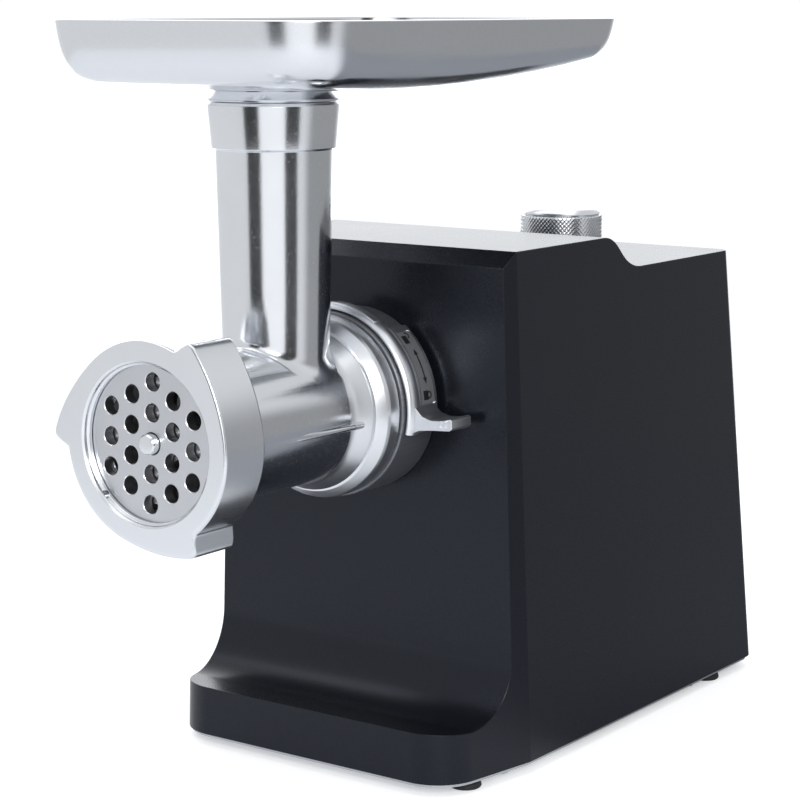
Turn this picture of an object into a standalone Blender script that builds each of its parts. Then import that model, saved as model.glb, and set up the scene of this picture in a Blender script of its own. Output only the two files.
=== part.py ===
"""Electric meat grinder with an upright feed tube, a dished tray and a bayonet-locked metal head.

Sizes are in millimetres and become metres when a mesh is made. The origin is the centre of the
footprint on the table, +Z is up and the head points towards -Y. Lengths along Y are drawn from a
datum just in front of that centre, and the guides move them to it. Every piece of the head is
placed by its station: the distance behind the front face of the hole plate, along the head's axis.
"""
from math import atan, atan2, cos, degrees, pi, radians, sin, sqrt, tan, tau

import bmesh
import bpy
from mathutils import Matrix

MM = 0.001
GAP = 0.3

# Head: a size 8 grinder, whose plate is 62 mm across.
AXIS_Z = 150.4
PLATE_Y = -163.6
PLATE_R = 31.0
PLATE_DEPTH = 5.0
HOLE_R = 3.5
HOLE_PITCH = 11.6
PIN_R = 3.8
NUT_R = 39.0
NUT_TIP_R = 46.0
NUT_FRONT = -4.0
NUT_BACK = 19.0
NUT_MOUTH_R = 29.5
THREAD_R = 33.0
BARREL_R = 29.0
BORE_R = 26.0
SPIGOT_R = 31.0
SPIGOT_END = 128.0
REAR_WALL = 100.0
FLANGE_R = 37.3
TUBE_STATION = 73.5
TUBE_TOP = AXIS_Z + 123.4
TUBE_BORE = 19.2

# Feed tray.
TRAY_HALF_W = 70.2
TRAY_FRONT = 9.4
TRAY_BACK = 233.2
TRAY_RIM_Z = 304.4
TRAY_FLOOR_Z = 277.2
TRAY_WALL = 1.6
TRAY_CORNER = 28.0
TRAY_SAG = 0.00052
TRAY_LOWEST = 88.0
TRAY_INWARD = -1.0
TRAY_SECTION = ((0.0, 1.0), (1.0, 0.72), (2.4, 0.48), (4.6, 0.28), (8.0, 0.13), (13.0, 0.045), (19.0, 0.01),
                (25.0, 0.0))
TRAY_NECK_R = 24.0
STUB_R = 20.9
STUB_Z = 259.4

# Feed screw.
AUGER_TURNS = 3.25
AUGER_STEPS = 40

# Collar and lock ring round the head's spigot.
COLLAR_R = 38.1
COLLAR_FRONT = 106.5
COLLAR_BORE = 31.5
LOCK_R = 41.0
LOCK_FRONT = 108.0
LOCK_BACK = 126.3
LOCK_TRAVEL = 35.0

# Housing.
SHELL_Z = 5.0
TOP_Z = 214.2
DECK_Z = 199.8
WALL = 3.0
HALF_W_LOW = 78.6
HALF_W_TOP = 71.2
EDGE_Y_LOW = -24.0
EDGE_Y_TOP = -26.5
BACK_Y_LOW = 173.4
BACK_Y_DECK = 153.4
PANEL_Y = -34.3
PANEL_TOP_Z = 208.1
LIP_Y = -73.6
LIP_CORNER_X = 69.6
BASE_TOP_Z = 25.0
LIP_TOP_Z = 26.2
SWEEP_R = 24.0
LIP_R = 20.0
REAR_CORNER_R = 6.0
TOP_BACK_Y = 45.6
STEP_ANGLE = radians(38.5)
MIDDLE_Y = (PLATE_Y + NUT_FRONT + BACK_Y_LOW) / 2

VENT_COUNT = 7
SCREW_SPOTS = ((-70.5, -34.0), (70.5, -34.0), (-72.5, 118.0), (72.5, 118.0))
FEET = (("front_left_foot", -65.0, -51.5), ("front_right_foot", 65.0, -51.5),
        ("rear_left_foot", -70.5, 140.0), ("rear_right_foot", 70.5, 140.0))
FAN_BLADES = 9

# Gear train, from the motor's pinion to the output gear: centres as (x, z).
OUTPUT_AXIS = (0.0, AXIS_Z)
SECOND_AXIS = (22.0, AXIS_Z - 39.25)
FIRST_AXIS = (-3.56, AXIS_Z - 62.24)
MOTOR_AXIS = (0.0, AXIS_Z - 89.0)
BOX_X = (-44.0, 56.0)
BOX_Z = (42.0, 193.0)
BOX_Y = (-27.2, 16.0)

# Control knob.
KNOB_X = 8.0
KNOB_Y = 109.0
KNOB_R = 18.65
KNOB_TOP = 219.0

TURNS = {
    "up": (0.0, 0.0, 0.0),
    "forward": (-pi / 2, 0.0, 0.0),
    "sideways": (pi / 2, 0.0, pi / 2),
}


# ---------------------------------------------------------------- scene, looks and mesh helpers

def clear_scene():
    for thing in list(bpy.data.objects):
        bpy.data.objects.remove(thing, do_unlink=True)


def collection(name):
    made = bpy.data.collections.new(name)
    bpy.context.scene.collection.children.link(made)
    return made


def look(name, colour, metallic, roughness):
    made = bpy.data.materials.new(name)
    made.use_nodes = True
    shader = made.node_tree.nodes["Principled BSDF"]
    shader.inputs["Base Color"].default_value = (*colour, 1.0)
    shader.inputs["Metallic"].default_value = metallic
    shader.inputs["Roughness"].default_value = roughness
    made.diffuse_color = (*colour, 1.0)
    return made


def guide(name, x, y, z, turn="forward"):
    """An empty for pieces that share an axis: its Z runs up, back along +Y, or along +X."""
    made = bpy.data.objects.new(name, None)
    made.location = (x * MM, (y - MIDDLE_Y) * MM, z * MM)
    made.rotation_euler = TURNS[turn]
    PARTS.objects.link(made)
    return made


def place(name, mesh, where, finish=None):
    """Link a mesh as a piece with its finish, or as a hidden cutter when it has none."""
    made = bpy.data.objects.new(name, mesh)
    made.parent = where
    if finish:
        mesh.materials.append(finish)
        PARTS.objects.link(made)
    else:
        made.hide_render = True
        made.display_type = "WIRE"
        CUTTERS.objects.link(made)
    return made


def finish_mesh(name, bm, smooth=True):
    bmesh.ops.recalc_face_normals(bm, faces=bm.faces)
    bmesh.ops.scale(bm, vec=(MM, MM, MM), verts=bm.verts)
    mesh = bpy.data.meshes.new(name)
    bm.to_mesh(mesh)
    bm.free()
    if smooth:
        mesh.shade_smooth()
        mesh.set_sharp_from_angle(angle=radians(35))
    return mesh


def signed_area(points):
    ring = points[1:] + points[:1]
    return sum(a[0] * b[1] - b[0] * a[1] for a, b in zip(points, ring)) / 2


def turned(name, profile, where, finish=None, steps=36):
    """A turned solid: a profile of (radius, height) points swept round the guide's Z.

    A profile that starts and ends on the axis is left open there; any other is a closed ring."""
    points = list(profile)
    if signed_area(points) > 0:
        points.reverse()
    on_axis = [i for i, point in enumerate(points) if point[0] == 0]
    if on_axis:
        while not (points[0][0] == 0 and points[-1][0] == 0):
            points = points[1:] + points[:1]
    mesh = bpy.data.meshes.new(name)
    edges = [(i, i + 1) for i in range(len(points) - 1)]
    if not on_axis:
        edges.append((len(points) - 1, 0))
    mesh.from_pydata([(r * MM, 0.0, z * MM) for r, z in points], edges, [])
    made = place(name, mesh, where, finish)
    screw = made.modifiers.new("turned", "SCREW")
    screw.steps = steps
    screw.render_steps = steps
    screw.use_merge_vertices = True
    screw.merge_threshold = 0.00001
    screw.use_smooth_shade = False
    return made


def prism(name, outline, low, high, where, finish=None):
    """A flat outline of (x, y) points, raised from low to high along the guide's Z."""
    bm = bmesh.new()
    face = bm.faces.new([bm.verts.new((x, y, low)) for x, y in outline])
    raised = bmesh.ops.extrude_face_region(bm, geom=[face])["geom"]
    tops = [part for part in raised if isinstance(part, bmesh.types.BMVert)]
    bmesh.ops.translate(bm, vec=(0.0, 0.0, high - low), verts=tops)
    return place(name, finish_mesh(name, bm), where, finish)


def block(name, low, high, where, finish=None):
    """A box between two opposite corners."""
    bm = bmesh.new()
    bmesh.ops.create_cube(bm, size=1.0)
    size = [high[i] - low[i] for i in range(3)]
    middle = [(high[i] + low[i]) / 2 for i in range(3)]
    bmesh.ops.scale(bm, vec=size, verts=bm.verts)
    bmesh.ops.translate(bm, vec=middle, verts=bm.verts)
    return place(name, finish_mesh(name, bm), where, finish)


def rods(name, centres, radius, low, high, where, finish=None, sides=24):
    """Round bars of one size standing at the centres, along the guide's Z."""
    bm = bmesh.new()
    for x, y in centres:
        spot = Matrix.Translation((x, y, (low + high) / 2))
        bmesh.ops.create_cone(bm, cap_ends=True, segments=sides, radius1=radius, radius2=radius,
                              depth=high - low, matrix=spot)
    return place(name, finish_mesh(name, bm), where, finish)


def cut(piece, cutter, operation="DIFFERENCE"):
    modifier = piece.modifiers.new(cutter.name, "BOOLEAN")
    modifier.operation = operation
    modifier.object = cutter
    modifier.solver = "EXACT"


def join(piece, other):
    cut(piece, other, "UNION")


def arc(centre, radius, start, end, count):
    """Points on a circle from one angle to the other, in degrees."""
    turn = [radians(start + (end - start) * i / count) for i in range(count + 1)]
    return [(centre[0] + radius * cos(a), centre[1] + radius * sin(a)) for a in turn]


def seen_from_front(outline):
    """Turn (x, z) points into the local points of a guide that faces forward."""
    return [(x, -z) for x, z in outline]


def loft(name, loops, where, finish=None):
    """A closed solid through loops that have the same number of points."""
    bm = bmesh.new()
    rings = [[bm.verts.new(point) for point in loop] for loop in loops]
    for lower, upper in zip(rings, rings[1:]):
        for i in range(len(lower)):
            j = (i + 1) % len(lower)
            bm.faces.new((lower[i], lower[j], upper[j], upper[i]))
    bm.faces.new(rings[0])
    bm.faces.new(rings[-1])
    bmesh.ops.triangulate(bm, faces=[face for face in bm.faces if len(face.verts) == 4])
    return place(name, finish_mesh(name, bm), where, finish)


# ---------------------------------------------------------------- housing

def ramp(low, high, z, z_low=SHELL_Z, z_high=TOP_Z):
    return low + (high - low) * (z - z_low) / (z_high - z_low)


def plan(z, inset):
    """Plan of the housing at a height: rounded rear corners, then the side strips that face
    slightly forward and end in the rounded corners of the base's lip."""
    half = ramp(HALF_W_LOW, HALF_W_TOP, z) - inset
    edge = ramp(EDGE_Y_LOW, EDGE_Y_TOP, z)
    back = ramp(BACK_Y_LOW, BACK_Y_DECK, z, SHELL_Z, DECK_Z) - inset
    lean = (HALF_W_LOW - LIP_CORNER_X) / (EDGE_Y_LOW - LIP_Y)
    radius = LIP_R - inset
    front = LIP_Y + inset
    turn = pi / 2 - atan(lean)
    corner = half - lean * (edge - front)
    right = arc((half - REAR_CORNER_R, back - REAR_CORNER_R), REAR_CORNER_R, 90, 0, 3)
    right.append((half, edge))
    right += arc((corner - radius * tan(turn / 2), front + radius), radius, degrees(turn) - 90, -90, 6)
    left = [(-x, y) for x, y in reversed(right)]
    return [(x, y, z) for x, y in right + left]


def top_step(inset):
    """The S-shaped drop from the main top to the rear deck, as (y, z) points."""
    convex = 5.0 - inset * 0.5
    hollow = 14.0 + inset * 0.5
    angle = degrees(STEP_ANGLE)
    start = TOP_BACK_Y - inset * 0.4
    upper = arc((start, TOP_Z - inset - convex), convex, 90, 90 - angle, 3)
    fall = TOP_Z - DECK_Z - (convex + hollow) * (1 - cos(STEP_ANGLE))
    run = fall / tan(STEP_ANGLE)
    foot = upper[-1][0] + run + hollow * sin(STEP_ANGLE)
    return upper + arc((foot, DECK_Z - inset + hollow), hollow, 270 - angle, 270, 4)


def side_profile(inset, low):
    """Side view of the housing as (y, z) points, from the lip round to the back."""
    sweep_centre = (PANEL_Y - SWEEP_R, BASE_TOP_Z + SWEEP_R)
    outline = [(LIP_Y + inset - 5, low), (LIP_Y + inset - 5, LIP_TOP_Z - inset)]
    outline += arc(sweep_centre, SWEEP_R + inset, -90, 0, 8)
    outline += [(PANEL_Y + inset, PANEL_TOP_Z - inset * 0.4), (EDGE_Y_TOP + inset * 0.6, TOP_Z - inset)]
    outline += top_step(inset)
    outline += [(BACK_Y_DECK + 30, DECK_Z - inset), (BACK_Y_DECK + 30, low)]
    return outline


def hull(name, inset, low, finish=None):
    """The housing's outside, or its hollow when inset: the lofted plan cut by the side view."""
    body = loft(name, [plan(z, inset) for z in (low, TOP_Z + 1)], FLOOR, finish)
    wide = HALF_W_LOW + 10
    slab = prism(name + "_side_view", side_profile(inset, low), -wide, wide, SIDEWAYS)
    cut(body, slab, "INTERSECT")
    return body


def slots(name, count, size, first, step):
    """A row of equal blocks used to cut slots."""
    bm = bmesh.new()
    for i in range(count):
        made = bmesh.ops.create_cube(bm, size=1.0)["verts"]
        bmesh.ops.scale(bm, vec=size, verts=made)
        bmesh.ops.translate(bm, vec=[first[k] + i * step[k] for k in range(3)], verts=made)
    return place(name, finish_mesh(name, bm), FLOOR)


def build_housing():
    shell = hull("housing_shell", 0.0, SHELL_Z, BLACK)
    cut(shell, hull("shell_hollow", WALL, SHELL_Z - 10))
    for spot in SCREW_SPOTS:
        join(shell, rods("boss", [spot], 5.0, SHELL_Z, 20, FLOOR, sides=12))
    cut(shell, rods("boss_holes", SCREW_SPOTS, 1.8, SHELL_Z - 1, 17, FLOOR, sides=12))
    cut(shell, rods("collar_hole", [(0, 0)], 36.0, 120, 140, HEAD, sides=36))
    cut(shell, rods("knob_hole", [(KNOB_X, KNOB_Y)], 5.0, 180, DECK_Z + 5, FLOOR))
    cut(shell, block("inlet_hole", (-52.3, 151, 19.7), (-23.7, 181, 40.3), FLOOR))
    cut(shell, slots("rear_vents", VENT_COUNT, (60, 40, 3.2), (0, 156, 62), (0, 0, 8)))

    sheet = prism("base_plate", [(x, y) for x, y, z in plan(SHELL_Z, 1.2)], 3.7, 4.9, FLOOR, STEEL)
    cut(sheet, slots("base_vents", 9, (4, 50, 8), (-36, 66, 4), (9, 0, 0)))
    cut(sheet, rods("plate_holes", SCREW_SPOTS, 1.9, 2, 6, FLOOR, sides=12))

    for number, spot in enumerate(SCREW_SPOTS, 1):
        where = guide(f"base_screw_{number}_axis", *spot, 0, "up")
        shape = [(0, 2.2), (3.2, 2.2), (3.4, 3.4), (1.4, 3.4), (1.4, 15), (0, 16)]
        turned(f"base_screw_{number}", shape, where, STEEL, 10)
    for name, x, y in FEET:
        where = guide(name + "_axis", x, y, 0, "up")
        shape = [(0, 0), (6.0, 0), (6.6, 0.6), (6.2, 2.2), (5.2, 3.4), (0, 3.4)]
        turned(name, shape, where, RUBBER, 20)


# ---------------------------------------------------------------- head

def sector(inner, outer, start, end, count):
    """A ring segment seen from the front, between two angles in degrees."""
    return seen_from_front(arc((0, 0), outer, start, end, count) + arc((0, 0), inner, end, start, count))


def build_casting():
    outside = [(0, 1.5), (THREAD_R, 1.5), (THREAD_R, 17.5), (BARREL_R, 19.5), (BARREL_R, 82),
               (33.3, 93.5), (32.8, 94.0), (33.7, 94.6), (36.6, 101.2), (FLANGE_R, 102.8),
               (FLANGE_R, 105.2), (36.7, 105.8), (SPIGOT_R, 105.8), (SPIGOT_R, SPIGOT_END), (0, SPIGOT_END)]
    casting = turned("head_casting", outside, HEAD, CAST, 40)
    tube = [(0, AXIS_Z + 5), (21.2, AXIS_Z + 5), (23.3, AXIS_Z + 105.3), (24.8, AXIS_Z + 105.9),
            (26.3, TUBE_TOP - 0.8), (25.8, TUBE_TOP), (0, TUBE_TOP)]
    join(casting, turned("feed_tube", tube, TUBE, steps=32))
    web = [(PLATE_Y + s, AXIS_Z + z) for s, z in [(86, 26), (99, 34), (98, 38), (94.5, 56), (86, 60)]]
    join(casting, prism("rear_web", web, -2.4, 2.4, SIDEWAYS))
    for side in (-1, 1):
        fin = [(side * x, s) for x, s in [(24, 50), (29.4, 50), (33.6, 86), (24, 90)]]
        join(casting, prism("side_fin", fin, AXIS_Z - 4.4, AXIS_Z - 1.4, FIN))
    stack = [(0, 0), (31.3, 0), (31.3, 5.3), (BORE_R, 5.3), (BORE_R, REAR_WALL), (12.6, REAR_WALL),
             (12.6, 105), (27, 105), (27, SPIGOT_END + 2), (0, SPIGOT_END + 2)]
    cut(casting, turned("barrel_bore", stack, HEAD, steps=32))
    cut(casting, rods("tube_bore", [(0, 0)], TUBE_BORE, AXIS_Z, TUBE_TOP + 2, TUBE, sides=28))
    mouth = [(0, STUB_Z - 8), (TUBE_BORE - 1, STUB_Z - 8), (22.0, STUB_Z - 2), (22.0, TUBE_TOP + 2),
             (0, TUBE_TOP + 2)]
    cut(casting, turned("tube_mouth", mouth, TUBE, steps=28))


def lobed_ring():
    """Outline of the ring nut: three grip lobes that rise slowly and fall steeply."""
    points = []
    for lobe in range(3):
        tip = -60.0 + 120.0 * lobe
        fall = ((0.0, NUT_TIP_R), (1.5, NUT_TIP_R - 1.2), (3.5, NUT_R + 1.6), (6.5, NUT_R))
        points += [(tip + step, radius) for step, radius in fall]
        points += [(tip + 15 + 12 * i, NUT_R) for i in range(5)]
        rise = NUT_TIP_R - NUT_R
        points += [(tip + 70 + 50 * i / 7, NUT_R + rise * (i / 7) ** 2) for i in range(7)]
    return [(r * cos(radians(a)), r * sin(radians(a))) for a, r in points]


def build_head():
    build_casting()
    nut = prism("ring_nut", seen_from_front(lobed_ring()), NUT_FRONT, NUT_BACK, HEAD, SATIN)
    cavity = [(0, NUT_FRONT - 1), (NUT_MOUTH_R + 0.6, NUT_FRONT - 1), (NUT_MOUTH_R + 0.6, NUT_FRONT),
              (NUT_MOUTH_R, NUT_FRONT + 0.6), (NUT_MOUTH_R, -GAP), (THREAD_R + 0.4, -GAP),
              (THREAD_R + 0.4, NUT_BACK + 1), (0, NUT_BACK + 1)]
    cut(nut, turned("nut_bore", cavity, HEAD))

    plate = rods("hole_plate", [(0, 0)], PLATE_R, 0, PLATE_DEPTH, HEAD, PLATE_STEEL, 40)
    holes = [(q * HOLE_PITCH * sqrt(3) / 2, (r + q / 2) * HOLE_PITCH)
             for q in range(-2, 3) for r in range(-2, 3) if 0 < q * q + q * r + r * r <= 4]
    turn = radians(-2.5)
    holes = [(x * cos(turn) - y * sin(turn), x * sin(turn) + y * cos(turn)) for x, y in holes]
    cut(plate, rods("plate_bores", seen_from_front(holes), HOLE_R, -1, PLATE_DEPTH + 1, HEAD, sides=10))
    cut(plate, rods("pin_bore", [(0, 0)], PIN_R + 0.4, -1, PLATE_DEPTH + 1, HEAD, sides=16))

    build_knife()
    build_auger()
    turned("auger_washer", [(12.9, 96.9), (22, 96.9), (22, 99.7), (12.9, 99.7)], HEAD, BRONZE, 24)


def build_knife():
    outline = []
    for wing in range(4):
        for angle, radius in ((-8, 24.6), (14, 24.6), (18, 12), (45, 9.5), (72, 12)):
            a = radians(angle + 90 * wing)
            outline.append((radius * cos(a), radius * sin(a)))
    knife = prism("knife", outline, 5.4, 9.8, HEAD, PLATE_STEEL)
    cut(knife, block("knife_square", (-4.8, -4.8, 4), (4.8, 4.8, 11), HEAD))


def build_auger():
    core = [(0, -3.0), (PIN_R - 0.8, -3.0), (PIN_R, -2.3), (PIN_R, 5.2), (4.4, 5.3), (4.4, 10.4),
            (9, 10.4), (13, 94), (12.2, 96), (12.2, 112), (0, 112)]
    auger = turned("auger", core, HEAD, CAST, 20)
    join(auger, block("auger_square", (-4.4, -4.4, 5.6), (4.4, 4.4, 12), HEAD))
    hexagon = arc((0, 0), 8.0, 0, 300, 5)
    join(auger, prism("auger_tang", hexagon, 110, 125.5, HEAD))
    sections = []
    for i in range(AUGER_STEPS + 1):
        along = i / AUGER_STEPS
        angle = tau * AUGER_TURNS * along
        station = 14.5 + 78.0 * along
        for radius, offset in ((7.5, -2.4), (25.3, -1.2), (25.3, 1.2), (7.5, 2.4)):
            sections.append((radius * cos(angle), radius * sin(angle), station + offset))
    rings = [sections[i:i + 4] for i in range(0, len(sections), 4)]
    join(auger, loft("auger_flight", rings, HEAD))


# ---------------------------------------------------------------- tray

def tray_loop(inset, share):
    """A rounded loop of the tray's underside: its inset from the rim and its share of the rise."""
    radius = max(TRAY_CORNER - inset, 5.0)
    across = TRAY_HALF_W - inset - radius
    front = TRAY_FRONT + inset + radius
    back = TRAY_BACK - inset - radius
    plan_points = []
    corners = ((across, front), (across, back), (-across, back), (-across, front))
    for start, corner in zip((-90, 0, 90, 180), corners):
        plan_points += arc(corner, radius, start, start + 90, 6)
    loop = []
    for x, s in plan_points:
        low = TRAY_FLOOR_Z + TRAY_SAG * (s - TRAY_LOWEST) ** 2
        loop.append((x, s, low + (TRAY_RIM_Z - low) * share))
    return loop


def build_tray():
    """The bowl is one open surface from its rim down to its stub, given a wall by Solidify."""
    loops = [tray_loop(inset, share) for inset, share in TRAY_SECTION]
    count = len(loops[0])
    rays = [radians(-90) + tau * (i + 0.5) / count for i in range(count)]
    ring = [(TRAY_NECK_R * cos(a), TUBE_STATION + TRAY_NECK_R * sin(a), TRAY_FLOOR_Z) for a in rays]
    floor = loops[-1]
    for part in (0.35, 0.7, 1.0):
        loops.append([tuple(p + (q - p) * part for p, q in zip(far, near))
                      for far, near in zip(floor, ring)])
    for radius, z in ((21.8, TRAY_FLOOR_Z - 0.5), (STUB_R, TRAY_FLOOR_Z - 2.2), (STUB_R, STUB_Z)):
        loops.append([(radius * cos(a), TUBE_STATION + radius * sin(a), z) for a in rays])
    bm = bmesh.new()
    rings = [[bm.verts.new((x, PLATE_Y + s, z)) for x, s, z in loop] for loop in loops]
    for outer, inner in zip(rings, rings[1:]):
        for i in range(len(outer)):
            j = (i + 1) % len(outer)
            bm.faces.new((outer[i], outer[j], inner[j], inner[i]))
    mesh = finish_mesh("feed_tray", bm)
    tray = place("feed_tray", mesh, FLOOR, SATIN)
    wall = tray.modifiers.new("wall", "SOLIDIFY")
    wall.thickness = TRAY_WALL * MM
    wall.offset = TRAY_INWARD
    wall.use_even_offset = True
    low = TUBE_TOP + GAP
    inner = STUB_R - 0.8
    skirt = [(inner, low), (26.0, low), (25.6, low + 1.0), (22.6, low + 3.4), (inner, low + 4)]
    join(tray, turned("neck_skirt", skirt, TUBE))


# ---------------------------------------------------------------- collar and lock ring

def build_lock():
    collar = [(COLLAR_BORE, COLLAR_FRONT), (COLLAR_R - 0.5, COLLAR_FRONT), (COLLAR_R, COLLAR_FRONT + 0.5),
              (COLLAR_R, 129.0), (35.5, 129.0), (35.5, 136.0), (COLLAR_BORE, 136.0), (COLLAR_BORE, 121.6),
              (35.2, 121.6), (35.2, 112.4), (COLLAR_BORE, 112.4)]
    body = turned("head_collar", collar, HEAD, COLLAR)
    window = sector(34, 40, 6, 62 + LOCK_TRAVEL, 8)
    cut(body, prism("collar_window", window, 114.5, 119.5, HEAD))

    ring = prism("lock_ring", sector(38.5, 40.3, -13, 95, 16), LOCK_FRONT, 115, HEAD, SATIN)
    join(ring, prism("label_band", sector(38.5, LOCK_R, -12.5, 52, 10), 113.5, LOCK_BACK, HEAD))
    join(ring, prism("grip_ribs", sector(39.5, 42.0, 60, 86, 6), LOCK_FRONT + 0.6, 113.6, HEAD))
    join(ring, prism("ring_web", sector(33.8, 39.4, 10, 58, 7), 115.2, 118.8, HEAD))
    join(ring, turned("inner_ring", [(32.0, 113), (34.8, 113), (34.8, 121), (32.0, 121)], HEAD, steps=24))
    tab = [(39.6, 3.6), (41.6, 1.0), (44.2, -1.0), (47.5, -2.1), (52.0, -2.3), (58.2, -0.9),
           (58.8, -1.6), (58.9, -4.9), (57.9, -5.9), (50.0, -6.3), (43.5, -6.9), (38.9, -8.3)]
    join(ring, prism("lever", seen_from_front(tab), 110.2, 124.2, HEAD))
    cut(ring, prism("label_recess", sector(40.4, 43, 3, 48, 8), 115.4, 125.0, HEAD))
    prism("lock_label", sector(40.65, 41.05, 3.6, 47.4, 8), 115.8, 124.6, HEAD, GREY)


# ---------------------------------------------------------------- gearbox

def gear_outline(teeth, module, phase):
    """Straight-sided teeth with running clearance, seen from the front; phase is one tooth's angle."""
    pitch_r = teeth * module / 2
    pitch = tau / teeth
    points = []
    for tooth in range(teeth):
        middle = phase + tooth * pitch
        for share, height in ((-0.29, -1.2), (-0.12, 0.9), (0.12, 0.9), (0.29, -1.2)):
            angle = middle + share * pitch
            radius = pitch_r + height * module
            points.append((radius * cos(angle), radius * sin(angle)))
    return points


def meshed_phase(teeth, phase, other_teeth, centre, other_centre):
    """Phase that puts a gap of the second gear opposite a tooth of the first."""
    line = atan2(other_centre[1] - centre[1], other_centre[0] - centre[0])
    return line + pi - (pi - teeth * (line - phase)) / other_teeth


def build_gears():
    first = meshed_phase(9, 0.0, 45, MOTOR_AXIS, FIRST_AXIS)
    second = meshed_phase(11, first, 44, FIRST_AXIS, SECOND_AXIS)
    third = meshed_phase(12, second, 48, SECOND_AXIS, OUTPUT_AXIS)

    where = guide("first_gear_axis", FIRST_AXIS[0], 0, FIRST_AXIS[1])
    teeth = seen_from_front(gear_outline(45, 1.0, first))
    cluster = prism("first_reduction_gear", teeth, 8, 14, where, NYLON)
    join(cluster, prism("first_pinion", seen_from_front(gear_outline(11, 1.25, first)), -3, 9, where))
    join(cluster, rods("first_shaft", [(0, 0)], 3.5, -23.6, 15.6, where, sides=16))

    where = guide("second_gear_axis", SECOND_AXIS[0], 0, SECOND_AXIS[1])
    teeth = seen_from_front(gear_outline(44, 1.25, second))
    cluster = prism("second_reduction_gear", teeth, -2, 6, where, NYLON)
    join(cluster, prism("second_pinion", seen_from_front(gear_outline(12, 1.5, second)), -16.5, -1, where))
    join(cluster, rods("second_shaft", [(0, 0)], 4.0, -23.6, 15.6, where, sides=16))

    teeth = seen_from_front(gear_outline(48, 1.5, third))
    gear = prism("output_gear", teeth, 147.6, 159.6, HEAD, STEEL)
    cut(gear, rods("gear_bore", [(0, 0)], 12.3, 140, 165, HEAD))
    shaft = [(0, 113), (17.6, 113), (18, 113.4), (18, 133.5), (12, 133.5), (12, 179), (0, 179)]
    socket = turned("output_shaft", shaft, HEAD, STEEL, 24)
    cut(socket, prism("drive_socket", arc((0, 0), 8.6, 0, 300, 5), 112, 127.5, HEAD))
    turned("output_bearing", [(12.3, 136.6), (15.3, 136.6), (15.3, 142), (12.3, 142)], HEAD, BRONZE, 24)


def build_gearbox():
    low = (BOX_X[0], BOX_Y[0], BOX_Z[0])
    high = (BOX_X[1], BOX_Y[1], BOX_Z[1])
    box = block("gearbox_housing", low, high, FLOOR, NYLON_DARK)
    hollow_low = (low[0] + WALL, low[1] + WALL, low[2] + WALL)
    cut(box, block("gearbox_hollow", hollow_low, (high[0] - WALL, high[1] + 1, high[2] - WALL), FLOOR))
    corners = [(x, z) for x in (BOX_X[0] + 6, BOX_X[1] - 6) for z in (BOX_Z[0] + 6, BOX_Z[1] - 6)]
    spots = [(x, -z) for x, z in corners]
    join(box, rods("corner_posts", spots, 5.0, BOX_Y[0] + 1, BOX_Y[1], BACKWARD, sides=12))
    cut(box, rods("post_holes", spots, 1.9, 0, BOX_Y[1] + 1, BACKWARD, sides=12))
    cut(box, rods("shaft_hole", [(0, 0)], 15.6, 130, 145, HEAD, sides=24))
    cover_low = (low[0], BOX_Y[1] + GAP, low[2])
    cover = block("gearbox_cover", cover_low, (high[0], 20, high[2]), FLOOR, NYLON_DARK)
    cut(cover, rods("cover_holes", spots, 1.9, 10, 30, BACKWARD, sides=12))
    cut(cover, rods("motor_hole", [(MOTOR_AXIS[0], -MOTOR_AXIS[1])], 6.5, 10, 30, BACKWARD))
    for number, (x, z) in enumerate(corners, 1):
        where = guide(f"gearbox_screw_{number}_axis", x, 0, z)
        shape = [(0, 4), (1.5, 4), (1.5, 20.3), (3.4, 20.3), (3.2, 22), (0, 22)]
        turned(f"gearbox_screw_{number}", shape, where, STEEL, 10)


# ---------------------------------------------------------------- motor and controls

def build_motor():
    rotor = [(0, 7.5), (3.2, 7.5), (3.2, 15.5), (4, 16), (4, 44), (11, 44), (11, 48), (21.2, 48),
             (21.2, 86), (11, 86), (11, 91), (4, 91), (4, 121), (0, 121)]
    armature = turned("armature", rotor, MOTOR, STEEL, 24)
    join(armature, prism("motor_pinion", seen_from_front(gear_outline(9, 1.0, 0.0)), 7.7, 14.4, MOTOR))
    turned("commutator", [(4.3, 95), (12, 95), (12, 107), (4.3, 107)], MOTOR, COPPER, 20)

    stator = block("stator_core", (-38, -37, 48), (38, 37, 86), MOTOR, STEEL)
    cut(stator, rods("stator_bore", [(0, 0)], 22.0, 40, 90, MOTOR, sides=28))
    for side in (-1, 1):
        for end in (-1, 1):
            low = (min(side * 13.7, side * 29), min(end * 16, end * 29.5), 40)
            high = (max(side * 13.7, side * 29), max(end * 16, end * 29.5), 90)
            cut(stator, block("coil_window", low, high, MOTOR))
    for name, end in (("upper_field_coil", -1), ("lower_field_coil", 1)):
        low, high = min(end * 17.3, end * 28.5), max(end * 17.3, end * 28.5)
        coil = block(name, (-27.5, low, 42), (27.5, high, 92), MOTOR, COPPER)
        cut(coil, block(name + "_eye", (-14, low - 1, 47.6), (14, high + 1, 86.4), MOTOR))
    for name, y in (("front", 35.5), ("rear", 109.5)):
        turned(name + "_bearing", [(4.3, y), (9, y), (9, y + 5), (4.3, y + 5)], MOTOR, STEEL, 16)
        rim = [(9.3, y + 1), (36, y + 1), (36, y + 4), (9.3, y + 4)]
        turned(name + "_bracket", rim, MOTOR, STEEL, 24)
    for name, side in (("left_brush_holder", -1), ("right_brush_holder", 1)):
        low, high = min(side * 12.4, side * 31), max(side * 12.4, side * 31)
        block(name, (low, -4, 97), (high, 4, 105), MOTOR, BRONZE)

    blades = []
    for i in range(FAN_BLADES):
        for angle, radius in ((-6, 11), (-1.5, 31), (3, 31), (12, 11)):
            a = radians(angle + 360 * i / FAN_BLADES)
            blades.append((radius * cos(a), radius * sin(a)))
    fan = prism("cooling_fan", blades, 24.5, 33, MOTOR, NYLON_DARK)
    cut(fan, rods("fan_bore", [(0, 0)], 4.3, 20, 40, MOTOR))


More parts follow.
